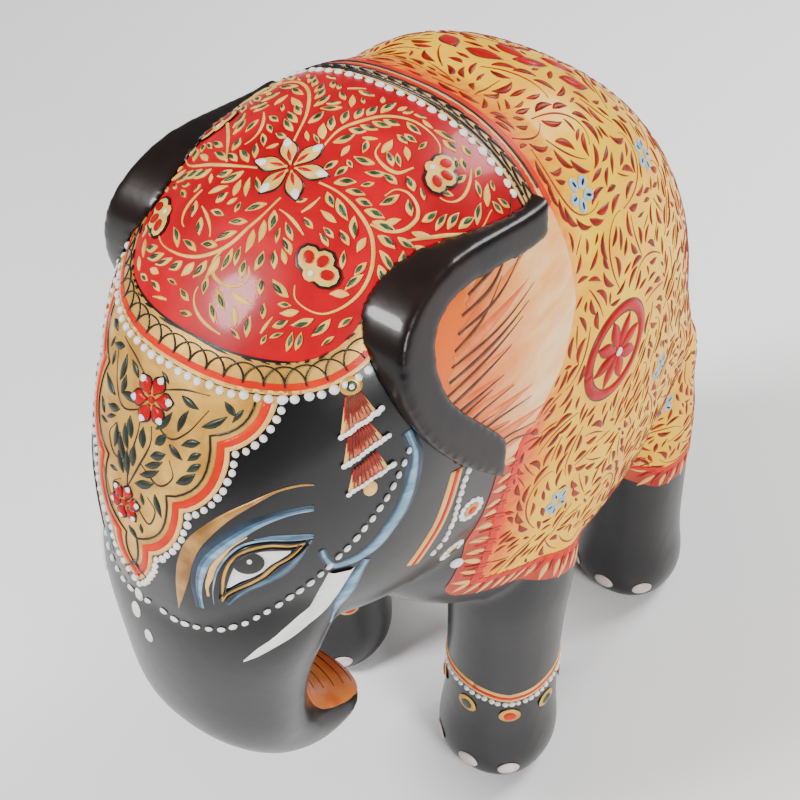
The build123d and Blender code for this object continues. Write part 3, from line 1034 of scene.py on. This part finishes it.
BROW = [(19, -51.3, 119.1), (17.7, -52.8, 119.4), (15.9, -54.9, 119), (13.9, -57.2, 117.6),
        (11.5, -59.6, 115.5), (9.3, -61.4, 112.8), (7.6, -62.7, 110), (6.7, -63.6, 107), (6.1, -64.2, 103.5),
        (5.6, -64.5, 100.4), (4.8, -64.5, 96.2)]
EYE_WHITE = [(17.6, 108.7), (16.5, 109.3), (15.2, 109.6), (14.4, 109.8), (13.4, 109.3), (12.5, 107.6),
             (11.9, 105.3), (11.6, 103), (13, 104.2), (14.3, 105), (15.6, 106.2), (16.5, 107.4)]
EYE_IRIS, EYE_GLINT = (13.95, 107.75), (14, 108.2)
UPPER_LID = [(18.7, 109.6), (17.6, 109.7), (15.9, 110.5), (14.4, 110.4), (13.2, 109.6), (12.1, 107.9),
             (11.4, 105.3), (11.1, 102.4), (10.9, 100.2)]
UPPER_SHADE = [(18.6, 109.4), (17.6, 109.1), (15.9, 109.9), (14.7, 109.9), (13.5, 109.4), (12.6, 108.1),
               (12, 106.2), (11.6, 103.9), (11.4, 102.1)]
LOWER_LID = [(18.6, 109.5), (18, 108.3), (17.3, 107.4), (16.5, 106.8), (15.9, 106), (15.1, 104.8),
             (13.9, 103.7), (12.5, 102.6), (11.5, 101.5), (10.9, 100.1)]
LID_LIGHT = [(19.3, 110.3), (18.5, 110.4), (17.4, 110.8), (15.9, 111.4), (14.4, 111.4), (13, 110.7),
             (11.8, 109), (10.9, 106.9), (10.4, 104.9), (10, 102), (9.9, 99.3)]
EYE_BELOW = [(19.2, 109.8), (18.2, 107.2), (16.9, 105), (15.2, 103.5), (13.3, 102), (11.4, 99.2)]
EYE_ARC = [(19.2, 115.1), (17.9, 115.2), (16.4, 114.9), (14.6, 113.9), (12.7, 112), (10.9, 109.7),
           (9.5, 107.3), (8.8, 104.6), (8.5, 101.7), (8.5, 98.1)]
ARC_CREAM = [(13.7, 112.3), (12.3, 110.8), (11.2, 108.9), (10.3, 107), (9.8, 104.8), (9.4, 103), (9.4, 101)]
DOTTED = [(1.5, -64.3, 92.9), (3.3, -64.3, 92.4), (5.3, -63.9, 92.6), (7.3, -63.5, 92.9), (9, -62.9, 93.2),
          (10.9, -62, 93.8), (12.3, -61, 94.7), (14, -59.4, 95.9), (16.2, -56.6, 98), (17.9, -54.5, 99.8),
          (19.7, -52, 102.3), (21.3, -49.5, 105.3), (22.6, -47.4, 107.8), (23.8, -45.2, 111.1),
          (24.7, -43, 114.3), (25.2, -41.2, 117.6), (25.4, -39.2, 121.2)]
CHEEK = [(24.8, -39.6, 122.8), (25.7, -39.1, 118.8), (25.9, -39.7, 115.6), (25.8, -40.4, 112.9),
         (25.4, -41.6, 109.8), (24.7, -43.3, 107.1), (23.8, -45, 104.7), (22.6, -47.1, 103.3),
         (21.5, -49, 102.9), (20.6, -50.4, 103.2), (20.1, -51.4, 105.5), (19.9, -51.7, 107.3)]
STREAK = [(23, -46.2, 102.1), (21.9, -47.6, 98.6), (21, -48.3, 95.5), (19.8, -48.9, 92.4),
          (19.1, -49.8, 88.8)]
TUSK_UPPER = [(20.2, -51.1, 101.9), (19.5, -51.9, 99.3), (18.4, -53.1, 95.8), (18, -55.2, 95),
              (17.2, -57.2, 93.8), (16.1, -59, 92.1), (14.7, -60.5, 90.4), (13.2, -61.8, 87.9)]
TUSK_LOWER = [(15.3, -60.2, 89.3), (16.9, -58.3, 90.8), (18.3, -56.1, 91.9), (19, -53.7, 92.7),
              (19.3, -50.6, 93.1), (20.3, -49.4, 95.4), (21.5, -48.5, 98.7), (22.2, -47.6, 101.2)]
# tassel: the two ends of each tier's top, then of its hem
TIERS = [((19.4, -45.1, 129.8), (20.3, -43.4, 130.3), (20.1, -47.1, 125.1), (22.3, -42.6, 127.2)),
         ((20.7, -46.5, 124.9), (22.1, -43.7, 126), (21, -47.8, 120.9), (23.5, -42.8, 123.3)),
         ((21.8, -47, 119.9), (23.3, -43.9, 121.8), (21.7, -48, 116.4), (24.3, -43, 118.7))]
TASSEL_BOSS, TASSEL_END = (19.3, -43.9, 131), (23.1, -45.4, 116.1)
PLEATS = 9
TRUNK_DROPS = ((-3.4, 92.6, 0.8), (-4.4, 88.6, 0.95), (-2.2, 84.6, 0.8))  # place in the front view and size


def beside(points, gap):
    """Places to one side of a path in the front view: a positive gap lies to the left of the way it runs."""
    result = []
    last = len(points) - 1
    for i, (x, z) in enumerate(points):
        (x0, z0), (x1, z1) = points[max(i - 1, 0)], points[min(i + 1, last)]
        length = math.hypot(x1 - x0, z1 - z0)
        result.append((x - (z1 - z0) / length * gap, z + (x1 - x0) / length * gap))
    return result


def eye(side, inks):
    """The white, the lids, the iris and the blue shading round them."""
    def stroke(ink, points, width, start=0.3, end=0.1, belly=0.5, crown=0.05):
        """A tapered stroke through places in the front view, mirrored on the right."""
        path = drawn(lambda x, z: from_front(side * x, z), points, 0.35)
        inks[ink].ribbon(path, tapered(len(path), width, start, end, belly), crown)

    outline = [(side * p.x, p.y) for p in along_points([(*p, 0) for p in EYE_WHITE], 0.4, True)]
    if side > 0:
        outline.reverse()
    eye_white = filled(from_front, outline, 0.16, 0.5)
    stroke("gold", UPPER_LID, 0.36, 0.3, 0.3)
    stroke("gold", LOWER_LID, 0.34, 0.3, 0.3)
    stroke("black", UPPER_SHADE, 0.34, 0.1, 0.3, 0.55, 0.03)
    for points, gap in ((UPPER_LID, -0.42), (LOWER_LID, 0.40), (LOWER_LID, -0.40)):
        stroke("black", beside(points, gap), 0.11, 0.9, 0.9, 0.5, 0.02)
    stroke("light", LID_LIGHT, 0.17, 0.4, 0.3)
    stroke("mid", beside(LID_LIGHT[:5], -0.4), 0.55, 0.3, 0.1, 0.3)
    stroke("deep", EYE_BELOW, 1.0, 0.3, 0.4)
    stroke("mid", EYE_BELOW, 0.5, 0.3, 0.5)
    stroke("deep", beside(EYE_ARC, -0.6), 1.25, 0.2, 0.3)
    stroke("mid", beside(EYE_ARC, -0.2), 0.8, 0.2, 0.3)
    stroke("light", EYE_ARC, 0.45, 0.2, 0.3)
    stroke("cream", ARC_CREAM, 0.45, 0.2, 0.4, 0.6)
    place, normal = from_front(side * EYE_IRIS[0], EYE_IRIS[1])
    inks["iris"].dome(place, normal, LEFT, 2.05, 1.0, 0.05, 24)
    place, normal = from_front(side * EYE_GLINT[0], EYE_GLINT[1])
    inks["glint"].dome(place, normal, UP, 0.34, 1.3, 0.1)
    return eye_white


def tassel(side, inks):
    """Three pleated tiers, each with a scalloped white hem, under a round boss."""
    rng = random.Random(2)
    for corners in TIERS:
        top_a, top_b, hem_a, hem_b = (at(side * x, y, z) for x, y, z in corners)
        flare = (hem_b - hem_a).length / PLEATS / 2
        for k in range(PLEATS):
            t = (k + 0.5) / PLEATS
            start, finish = top_a.lerp(top_b, t), hem_a.lerp(hem_b, t)
            path = on_skin([start, start.lerp(finish, 0.5), finish], 0.4)
            last = len(path) - 1
            widths = [flare * (0.45 + 0.6 * i / last) for i in range(last + 1)]
            inks["cream" if k in (0, PLEATS - 1) else "pink"].ribbon(path, widths, 0.12)
            shade = tapered(round(last * 0.9), flare * 0.62, 0.9, 0.2, 0.2)
            inks["rose"].ribbon(path[:round(last * rng.uniform(0.55, 0.85))], shade, 0.06)
            if k:
                t = k / PLEATS
                start, finish = top_a.lerp(top_b, t), hem_a.lerp(hem_b, t)
                crease = on_skin([start, start.lerp(finish, rng.uniform(0.6, 0.95))], 0.4)
                inks["crease"].ribbon(crease, tapered(len(crease), 0.11, 1, 0.3, 0.3), 0.02)
        for k in range(PLEATS + 2):
            place, normal = drop(hem_a.lerp(hem_b, k / PLEATS) + UP * rng.uniform(-0.12, 0.12))
            inks["glint"].dome(place, normal, hem_b - hem_a, rng.uniform(0.32, 0.46), 1.2, 0.22)
    end, normal = drop(at(side * TASSEL_END[0], *TASSEL_END[1:]))
    inks["cream"].dome(end, normal, UP, 1.0, 1.25, 0.3, 14)
    boss, normal = drop(at(side * TASSEL_BOSS[0], *TASSEL_BOSS[1:]))
    inks["gold"].dome(boss, normal, AHEAD + UP * 0.3, 1.25, 1.2, 0.25, 18)
    inks["green"].dome(boss + normal * 0.25, normal, UP, 0.72, 1, 0.1, 14)
    inks["glint"].dome(boss + normal * 0.36, normal, UP, 0.36, 1, 0.12)


TUSK_ROWS, TUSK_RISE, TUSK_SINK = 5, 0.34, -0.06


def crescent(upper, lower, side):
    """A patch between two laid edges that meet at the last place of the upper one."""
    rows = TUSK_ROWS
    top = laid(upper, side, 0.5)
    count = len(top)
    bottom_points = along_points([at(side * x, y, z) for x, y, z in [upper[-1]] + lower], 0.5)[::-1]
    bottom = [drop(bottom_points[round(i * (len(bottom_points) - 1) / (count - 1))]) for i in range(count)]
    vertices, faces = [], []
    for (a, _), (b, _) in zip(top, bottom):
        for k in range(rows + 1):
            place, normal = drop(a.lerp(b, k / rows))
            vertices.append(place + normal * (TUSK_SINK if k in (0, rows) else TUSK_RISE))
    for i in range(count - 1):
        for k in range(rows):
            a = i * (rows + 1) + k
            quad = (a, a + 1, a + rows + 2, a + rows + 1)
            faces.append(quad if side > 0 else quad[::-1])
    return vertices, faces


FACE_INKS = {  # colour: (height over the skin, material, slot, name of its piece)
    "deep": (0.04, deep_blue, "black_lacquer", "face_deep_blue"),
    "mid": (0.08, mid_blue, "black_lacquer", "face_mid_blue"),
    "light": (0.13, soft_blue, "black_lacquer", "face_light_blue"),
    "cream": (0.16, tan, "gold_paint", "face_cream"),
    "gold": (0.20, gold, "gold_paint", "face_gold"),
    "brow": (0.12, brow_gold, "gold_paint", "face_brow"),
    "pink": (0.10, pink, "pink_paint", "tassel_pleats"),
    "rose": (0.22, rose, "pink_paint", "tassel_shades"),
    "crease": (0.30, brown, "pink_paint", "tassel_creases"),
    "black": (0.30, line_black, "black_lacquer", "face_lines"),
    "iris": (0.22, line_black, "white_paint", "eye_iris"),
    "green": (0.20, leaf_green, "gold_paint", "tassel_boss_ring"),
    "glint": (0.34, white, "white_paint", "face_lights"),
}


def face():
    """Eyes, brows, cheeks, tusks, tassels and rows of dots on both sides, and the drops on the trunk."""
    for side, word in SIDES:
        inks = {key: Ink(lift) for key, (lift, *_) in FACE_INKS.items()}
        eye_white = eye(side, inks)
        tassel(side, inks)
        brow = laid(BROW, side, 0.5)
        inks["brow"].ribbon(brow, tapered(len(brow), 1.1, 0.12, 0.1, 0.66), 0.08)
        cheek, streak = laid(CHEEK, side), laid(STREAK, side)
        for ink, path, shape, crown in (("deep", cheek, (1.5, 0.7, 0.4, 0.3), 0.03),
                                        ("mid", cheek, (1.15, 0.5, 0.3, 0.5), 0.04),
                                        ("light", cheek, (0.85, 0.15, 0.2, 0.5), 0.06),
                                        ("mid", streak, (1.35, 0.5, 0.4, 0.45), 0.04),
                                        ("light", streak, (0.95, 0.3, 0.4, 0.5), 0.06)):
            inks[ink].ribbon(path, tapered(len(path), *shape), crown)
        replaced = {"pink": (f"tassel_{word}",)}
        for key, (_, material, slot, name) in FACE_INKS.items():
            inks[key].piece(f"{name}_{word}", material, slot, replaced.get(key, ()))
        add_piece(f"eye_white_{word}", *eye_white, white, "white_paint", (f"eye_{word}",))
        add_piece(f"tusk_paint_{word}", *crescent(TUSK_UPPER, TUSK_LOWER, side), white, "white_paint",
                  (f"tusk_{word}",))
        dots = Ink(0.14)
        line = laid([p for p in DOTTED if p[0] > 0.4 or side > 0], side)
        beads(dots, line, 1.85, 0.38, 0.35, 1.6)
        dots.piece(f"face_dots_{word}", white, "white_paint", (f"face_beads_{word}",))
    drops = Ink(0.06)
    for x, z, size in TRUNK_DROPS:
        place, normal = from_front(x, z)
        drops.dome(place, normal, DOWN, size, 1.7, 0.35)
    drops.piece("trunk_drops", white, "white_paint")


# ---------------------------------------------------------------- ears' inside

EAR_HOLLOW = [(-24.5, 108), (-31, 118.5), (-36, 128.5), (-35, 136.5), (-20, 137.5), (-5, 136), (-4.2, 130),
              (-3.8, 121), (-7.7, 112.2), (-16.7, 104.3), (-19, 102.6), (-22.6, 103.6)]
VEINS, SHADES = 17, 11


def ear_linings():
    """The peach ground inside the ears, with orange shades and brown veins that fan out from the rim."""
    for side, word in SIDES:
        hollow = side_outline(EAR_HOLLOW, side)
        add_piece(f"ear_hollow_{word}", *region(hollow, 0.16), peach, "orange_paint", (f"ear_lining_{word}",))
        rng = random.Random(3)
        view = from_side(side)
        veins, shades = Ink(0.26), Ink(0.20)
        for k in range(VEINS):
            t = k / (VEINS - 1)
            start = Vector((-25.5 - 9 * math.sin(math.pi * t ** 0.8) ** 0.8, 107 + 28 * t, 0))
            finish = start + Vector((rng.uniform(9, 19), (t - 0.4) * 9 + rng.uniform(-1, 1), 0))
            middle = start.lerp(finish, 0.5) + Vector((0, (t - 0.5) * -3.0, 0))
            path = drawn(view, [tuple(p)[:2] for p in (start, middle, finish)])
            veins.ribbon(path, tapered(len(path), rng.uniform(0.2, 0.36), 0.8, 0.05, 0.3), 0.04)
        for k in range(SHADES):
            t = (k + 0.5) / SHADES
            start = Vector((-25 - 9 * math.sin(math.pi * t), 107 + 28 * t, 0))
            finish = start + Vector((rng.uniform(9, 17), (t - 0.45) * 9, 0))
            path = drawn(view, [tuple(p)[:2] for p in (start, start.lerp(finish, 0.5), finish)])
            shades.ribbon(path, tapered(len(path), rng.uniform(0.9, 1.4), 0.7, 0.02, 0.3), 0.03)
        shades.piece(f"ear_shades_{word}", orange, "orange_paint")
        veins.piece(f"ear_veins_{word}", brown, "orange_paint")


# ---------------------------------------------------------------- cloth painting

ROUNDEL = (5.5, 106)
ROUNDEL_RINGS = (("red", 7.4, 0.85, 0.08), ("line", 6.45, 0.14, 0.02), ("line", 8.35, 0.14, 0.02))
BLUE_FLOWERS = [(21.7, 3, 132.5), (21.9, 23, 128), (28, -6.4, 82), (25.5, 39, 64), (30, 24, 88)]
RIDGE_PETALS = [(-1.8, 10.1, 0.1), (4.5, 12.8, 0.9), (-0.5, 16, -0.2), (10.5, 16, 1.0), (5, 19.5, 0.5),
                (-7.5, 13, -0.8)]
FULL_TURN = np.linspace(0, 2 * math.pi, 49)


def roundel(side, inks):
    """The red ring with an eight-petalled flower on one flank, and the spot it is drawn on."""
    spot = Spot(from_side(side)(*ROUNDEL)[0], AHEAD)
    for ink, radius, width, crown in ROUNDEL_RINGS:
        ring = [spot.around(t, radius) for t in FULL_TURN]
        inks[ink].ribbon(ring, [width] * len(ring), crown)
    flower(spot, None, inks["red"], inks["line"], None, 8, 6.1, 2.3, 0.2, 0.3)
    inks["white"].dome(spot.place, spot.normal, UP, 0.75, 1, 0.3)
    return spot


def blue_flower(spot, inks):
    """Five round petals with a dark stroke on each."""
    for k in range(5):
        turn = k * 2 * math.pi / 5 + 0.3
        place, normal = spot.around(turn, 1.75)
        inks["blue"].dome(place, normal, spot.heading(turn), 0.9, 1.2, 0.12)
        inks["dark"].dome(place, normal, spot.heading(turn), 0.24, 2.4, 0.05)


def cloth_painting():
    """The roundels, the flowers and the curling strokes on the yellow of the cloth."""
    edge = side_outline(CLOTH)
    stems, leaves = Ink(0.16), Ink(0.18)
    inks = {"red": Ink(0.24), "line": Ink(0.17), "dark_red": Ink(0.34), "white": Ink(0.4), "blue": Ink(0.2),
            "dark": Ink(0.34)}
    garden = Foliage(edge, stems, leaves, None, 21, 3.7, 1.15, 1.05, 0.4)
    for side in (1, -1):
        spot = roundel(side, inks)
        for radius in (1, 4.5, 7.5):
            for k in range(16):
                garden.block(spot.around(k * math.pi / 8, radius)[0], 1.3)
        for x, y, z in BLUE_FLOWERS:
            bloom = Spot(at(side * x, y, z), UP)
            garden.block(bloom.place, 2.3)
            blue_flower(bloom, inks)
    for x, y, turn in RIDGE_PETALS:
        spot = Spot(from_above(x, y)[0], LEFT)
        ahead = spot.heading(turn)
        place, normal = spot.place, spot.normal
        outer = walk(place, normal, ahead, 6.0, 0.03, 0.5)
        inks["line"].ribbon(outer, tapered(len(outer), 1.65, 0.1, 0.03, 0.45), 0.0)
        inner = walk(place + ahead * 0.4, normal, ahead, 5.2, 0.03, 0.5)
        inks["dark_red"].ribbon(inner, tapered(len(inner), 1.3, 0.1, 0.03, 0.45), 0.04)
        for k in (1, 4, 7, 10):
            garden.block(outer[min(k, len(outer) - 1)][0], 1.3)
    garden.grow(3600, (9, 18), (0.05, 0.2), width=0.17, gap=1.5, size=1.0)
    garden.fill(0.8)
    garden.fill(0.55, 0.09)
    stems.piece("cloth_stems", brown_red, "yellow_paint")
    leaves.piece("cloth_leaves", brown_red, "yellow_paint")
    inks["red"].piece("cloth_red_figures", red, "red_paint", ("medallion_left", "medallion_right"))
    inks["line"].piece("cloth_figure_lines", brown, "red_paint")
    inks["dark_red"].piece("cloth_ridge_petals", red, "red_paint")
    inks["blue"].piece("cloth_blue_petals", sky_blue, "yellow_paint")
    inks["dark"].piece("cloth_petal_strokes", line_black, "yellow_paint")
    inks["white"].piece("cloth_white_dots", white, "white_paint")


HEM = [(28.5, -18.5, 101), (28, -20.5, 90), (27, -22.6, 78), (26.5, -23.6, 72)]
HEM_BOTTOM = [(26.5, -23.6, 72), (29, -12, 66.5), (30, 0, 61.5), (30, 14, 55), (29, 28, 48.5), (27, 40, 42.5),
              (20, 54, 41.6), (8, 60, 41.6), (0, 60, 41.6)]


STROKE_GAP = 0.95


def fringe_strokes():
    """Light, dark and rose strokes in turn along the fringe, hanging outward."""
    threads, lights, shades = Ink(0.22), Ink(0.14), Ink(0.17)
    rng = random.Random(8)
    for side in (1, -1):
        for points in (HEM, HEM_BOTTOM):
            path = laid(points, side)
            for number, (place, normal, ahead) in enumerate(even(path, STROKE_GAP)):
                down = normal.cross(ahead) * -side
                tilt = Matrix.Rotation(rng.uniform(-0.2, 0.2) - 0.3 * side, 3, normal)
                ink, width, rise = ((lights, 1.3, 0.4), (threads, 0.3, 2.0), (shades, 1.0, 2.2))[number % 3]
                start = drop(place - down * rise)
                leaf(ink, *start, tilt @ down, rng.uniform(3.4, 4.6), width, 0.03)
    threads.piece("fringe_threads", brown_red, "pink_paint")
    lights.piece("fringe_lights", tan, "pink_paint")
    shades.piece("fringe_shades", rose, "pink_paint")


# ---------------------------------------------------------------- collar, anklets, toes

COLLAR = [(27.6, -32, 110.4), (27.4, -33.1, 106.7), (27.2, -33.9, 104.2), (26.9, -34.9, 101.7),
          (26.5, -36.2, 99.4), (25.8, -37.6, 97), (25.1, -38.7, 94.9)]
COLLAR_BEADS = [(27.8, -29.6, 108.4), (27.7, -30.5, 106.4), (27.6, -30.9, 104.8), (27.5, -31.3, 103.3),
                (27.4, -31.6, 101.3), (27.2, -31.8, 99.4), (26.9, -32.5, 97.5), (26.5, -33.1, 95.8),
                (26.2, -33.9, 94.9), (25.6, -36, 94)]
COLLAR_FLOWERS, COLLAR_DOT = ((27.4, -27.7, 98.1, "red"), (25, -28.6, 87.9, "green")), (23.9, -25.4, 80.6)


BAND_INKS = {  # colour: (height over the skin, material, slot)
    "tan": (0.12, tan, "gold_paint"),
    "red": (0.2, red_orange, "red_paint"),
    "gold": (0.15, gold, "gold_paint"),
    "green": (0.2, leaf_green, "gold_paint"),
    "white": (0.06, white, "white_paint"),
}
ANKLE, ANKLET_HEIGHT, ANKLET_DIP = (20.4, -1.6), 30, 2.6
ANKLET_DOTS, ANKLET_DOTS_HEIGHT = (20.6, -2), 22.2
FEET, NAIL_TURNS, NAIL_HEIGHT = {"front": (20.7, -3), "hind": (19.4, 50.8)}, (-0.72, 0.05, 0.78), 5.6


def boss(inks, place, normal, radius, core, stretch=1.1, along=AHEAD):
    """A gold drop with a red or green core and a white dot."""
    inks["gold"].dome(place, normal, along, radius, stretch, 0.2, 18)
    inks[core].dome(place + normal * 0.2, normal, along, radius * 0.58, stretch, 0.12, 14)
    inks["white"].dome(place + normal * 0.3, normal, UP, radius * 0.3, 1, 0.12)


def collar(side, inks):
    """The striped band on the neck with its beads, its two flowers and the dot under them."""
    line = laid(COLLAR, side)
    inks["tan"].ribbon(line, [1.3] * len(line), 0.05)
    inks["red"].ribbon(line, [0.45] * len(line), 0.03)
    beads(inks["white"], laid(COLLAR_BEADS, side), 1.3, 0.5, 0.4, 1.15)
    for x, y, z, core in COLLAR_FLOWERS:
        place, normal = drop(at(side * x, y, z))
        spot = Spot(place, Vector((0, 1, -0.8)))
        for k in range(12):
            inks["white"].dome(*spot.around(k * 2 * math.pi / 12, 2.6, 1.7), spot.u, 0.5, 1.4, 0.25)
        boss(inks, place, normal, 1.2, core, 1.5, spot.u)
    place, normal = drop(at(side * COLLAR_DOT[0], *COLLAR_DOT[1:]))
    inks["white"].dome(place, normal, UP, 1.15, 1, 0.35, 16)


def anklet(side, inks):
    """The striped band round a front leg with its beads, and the row of bosses under it."""
    def ring(height):
        """The skin round the leg at a height from the anklet's middle, lowest towards the front."""
        path = []
        for t in FULL_TURN:
            dip = ANKLET_DIP * abs(math.sin(t / 2 - side * 0.32)) ** 0.9
            path.append(round_leg(side * ANKLE[0], ANKLE[1], ANKLET_HEIGHT + height - ANKLET_DIP + dip, t))
        return path

    band = ring(0)
    inks["tan"].ribbon(band, [1.15] * len(band), 0.05)
    inks["red"].ribbon(band, [0.42] * len(band), 0.03)
    beads(inks["white"], ring(-1.9), 1.3, 0.58, 0.4)
    for k in range(8):
        turn = k * math.pi / 4 - side * 0.1
        place, normal = round_leg(side * ANKLET_DOTS[0], ANKLET_DOTS[1], ANKLET_DOTS_HEIGHT, turn)
        boss(inks, place, normal, 1.9, "red" if k % 2 else "green")


def bands():
    """A collar and an anklet on each side, one piece for each colour."""
    for side, word in SIDES:
        for name, draw in (("collar", collar), ("anklet", anklet)):
            inks = {key: Ink(lift) for key, (lift, *_) in BAND_INKS.items()}
            draw(side, inks)
            for key, (_, material, slot) in BAND_INKS.items():
                replaced = (f"{name}_{word}",) if key == "tan" else ()
                inks[key].piece(f"{name}_{key}_{word}", material, slot, replaced)


def toes():
    """Three nails on each foot."""
    for word, (x, y) in FEET.items():
        for side, hand in SIDES:
            nails = Ink(0.03)
            for turn in NAIL_TURNS:
                place, normal = round_leg(side * x, y, NAIL_HEIGHT, turn)
                nails.dome(place, normal, normal.cross(UP), 1.9, 1.15, 0.4, 20)
            nails.piece(f"toenails_{word}_{hand}_paint", nail, "white_paint", (f"toenails_{word}_{hand}",))


# ---------------------------------------------------------------- trunk tip

TIP_FACING, TIP_LEAST_FACING = (0, 0.74, 0.67), 0.72
TIP_TOP, TIP_FOOT, TIP_BACK = 66, 40, -28
FOLDS = 7


def trunk_tip():
    """The cut face of the trunk's end, which looks back and up, and its folds."""
    facing = SKIN_NORMALS @ np.array(TIP_FACING)
    y = SKIN[:, 1] - SHIFT
    values = np.maximum.reduce([(TIP_LEAST_FACING - facing) * 12, SKIN[:, 2] - TIP_TOP, TIP_FOOT - SKIN[:, 2],
                                y - TIP_BACK, np.where(y < TIP_BACK, -1.0, 1.0)])
    add_piece("trunk_tip_paint", *region(values, 0.14), orange, "orange_paint", ("trunk_tip_lining",))
    folds = Ink(0.2)
    for k in range(FOLDS):
        along = k / (FOLDS - 1)
        y, z = -30.5 - 11 * along, 46.5 + 13.5 * along
        line = [drop(at(x, y - 0.02 * x * x, z)) for x in np.linspace(-10.5, 10.5, 30)]
        folds.ribbon(line, tapered(len(line), 0.28, 0.4, 0.3, 0.5), 0.03)
    folds.piece("trunk_tip_folds", brown_red, "orange_paint")


# ---------------------------------------------------------------- stage


FLOOR_HALF, CLIP = 3, (0.01, 10)  # metres
DAYLIGHT = 0.19
LIGHTS = {  # name: (place, width, watts)
    "key": ((-260, -420, 560), 180, 5.8),
    "fill": ((480, -160, 300), 220, 2.6),
    "back": ((120, 460, 420), 260, 3.2),
}
LIT_PLACE = (0, 0, 90)
CAMERA_PLACE, AZIMUTH, ELEVATION = (98, -139, 253), math.radians(36.8), math.radians(45.3)
SENSOR, LENS = 36, 63.9


def stage():
    """A plain white paper floor."""
    floor = bpy.data.meshes.new("floor")
    half = FLOOR_HALF
    corners = [(-half, -half, 0), (half, -half, 0), (half, half, 0), (-half, half, 0)]
    floor.from_pydata(corners, [], [(0, 1, 2, 3)])
    ground = bpy.data.objects.new("floor", floor)
    bpy.context.scene.collection.objects.link(ground)
    material = bpy.data.materials.new("paper")
    material.use_nodes = True
    shader = material.node_tree.nodes["Principled BSDF"]
    shader.inputs["Base Color"].default_value = (1.0, 1.0, 1.0, 1)
    shader.inputs["Roughness"].default_value = 0.9
    shader.inputs["Specular IOR Level"].default_value = 0.1
    floor.materials.append(material)


def area_light(name, place, width, watts):
    """A round soft light that looks at the elephant."""
    data = bpy.data.lights.new(name, "AREA")
    data.shape, data.size, data.energy = "DISK", width * MM, watts
    lamp = bpy.data.objects.new(name, data)
    lamp.location = Vector(place) * MM
    lamp.rotation_mode = "QUATERNION"
    lamp.rotation_quaternion = ((Vector(LIT_PLACE) - Vector(place)) * MM).to_track_quat("-Z", "Y")
    bpy.context.scene.collection.objects.link(lamp)


def studio():
    """Soft light from all round and three large lamps."""
    world = bpy.data.worlds.new("studio")
    world.use_nodes = True
    world.node_tree.nodes["Background"].inputs["Color"].default_value = (1, 1, 1, 1)
    world.node_tree.nodes["Background"].inputs["Strength"].default_value = DAYLIGHT
    bpy.context.scene.world = world
    for name, light in LIGHTS.items():
        area_light(name, *light)


def camera():
    """Looks down on the head from the front left, as the photograph does."""
    level = math.cos(ELEVATION)
    back = Vector((math.sin(AZIMUTH) * level, -math.cos(AZIMUTH) * level, math.sin(ELEVATION)))
    data = bpy.data.cameras.new("camera")
    data.sensor_width, data.lens = SENSOR, LENS
    data.clip_start, data.clip_end = CLIP
    viewer = bpy.data.objects.new("camera", data)
    viewer.location = at(*CAMERA_PLACE) * MM
    viewer.rotation_mode = "QUATERNION"
    viewer.rotation_quaternion = (-back).to_track_quat("-Z", "Y")
    bpy.context.scene.collection.objects.link(viewer)
    bpy.context.scene.camera = viewer


wood()
cap()
cap_painting()
cap_edges()
cloth()
cloth_painting()
fringe_strokes()
forehead()
face()
ear_linings()
bands()
toes()
trunk_tip()
stage()
studio()
camera()
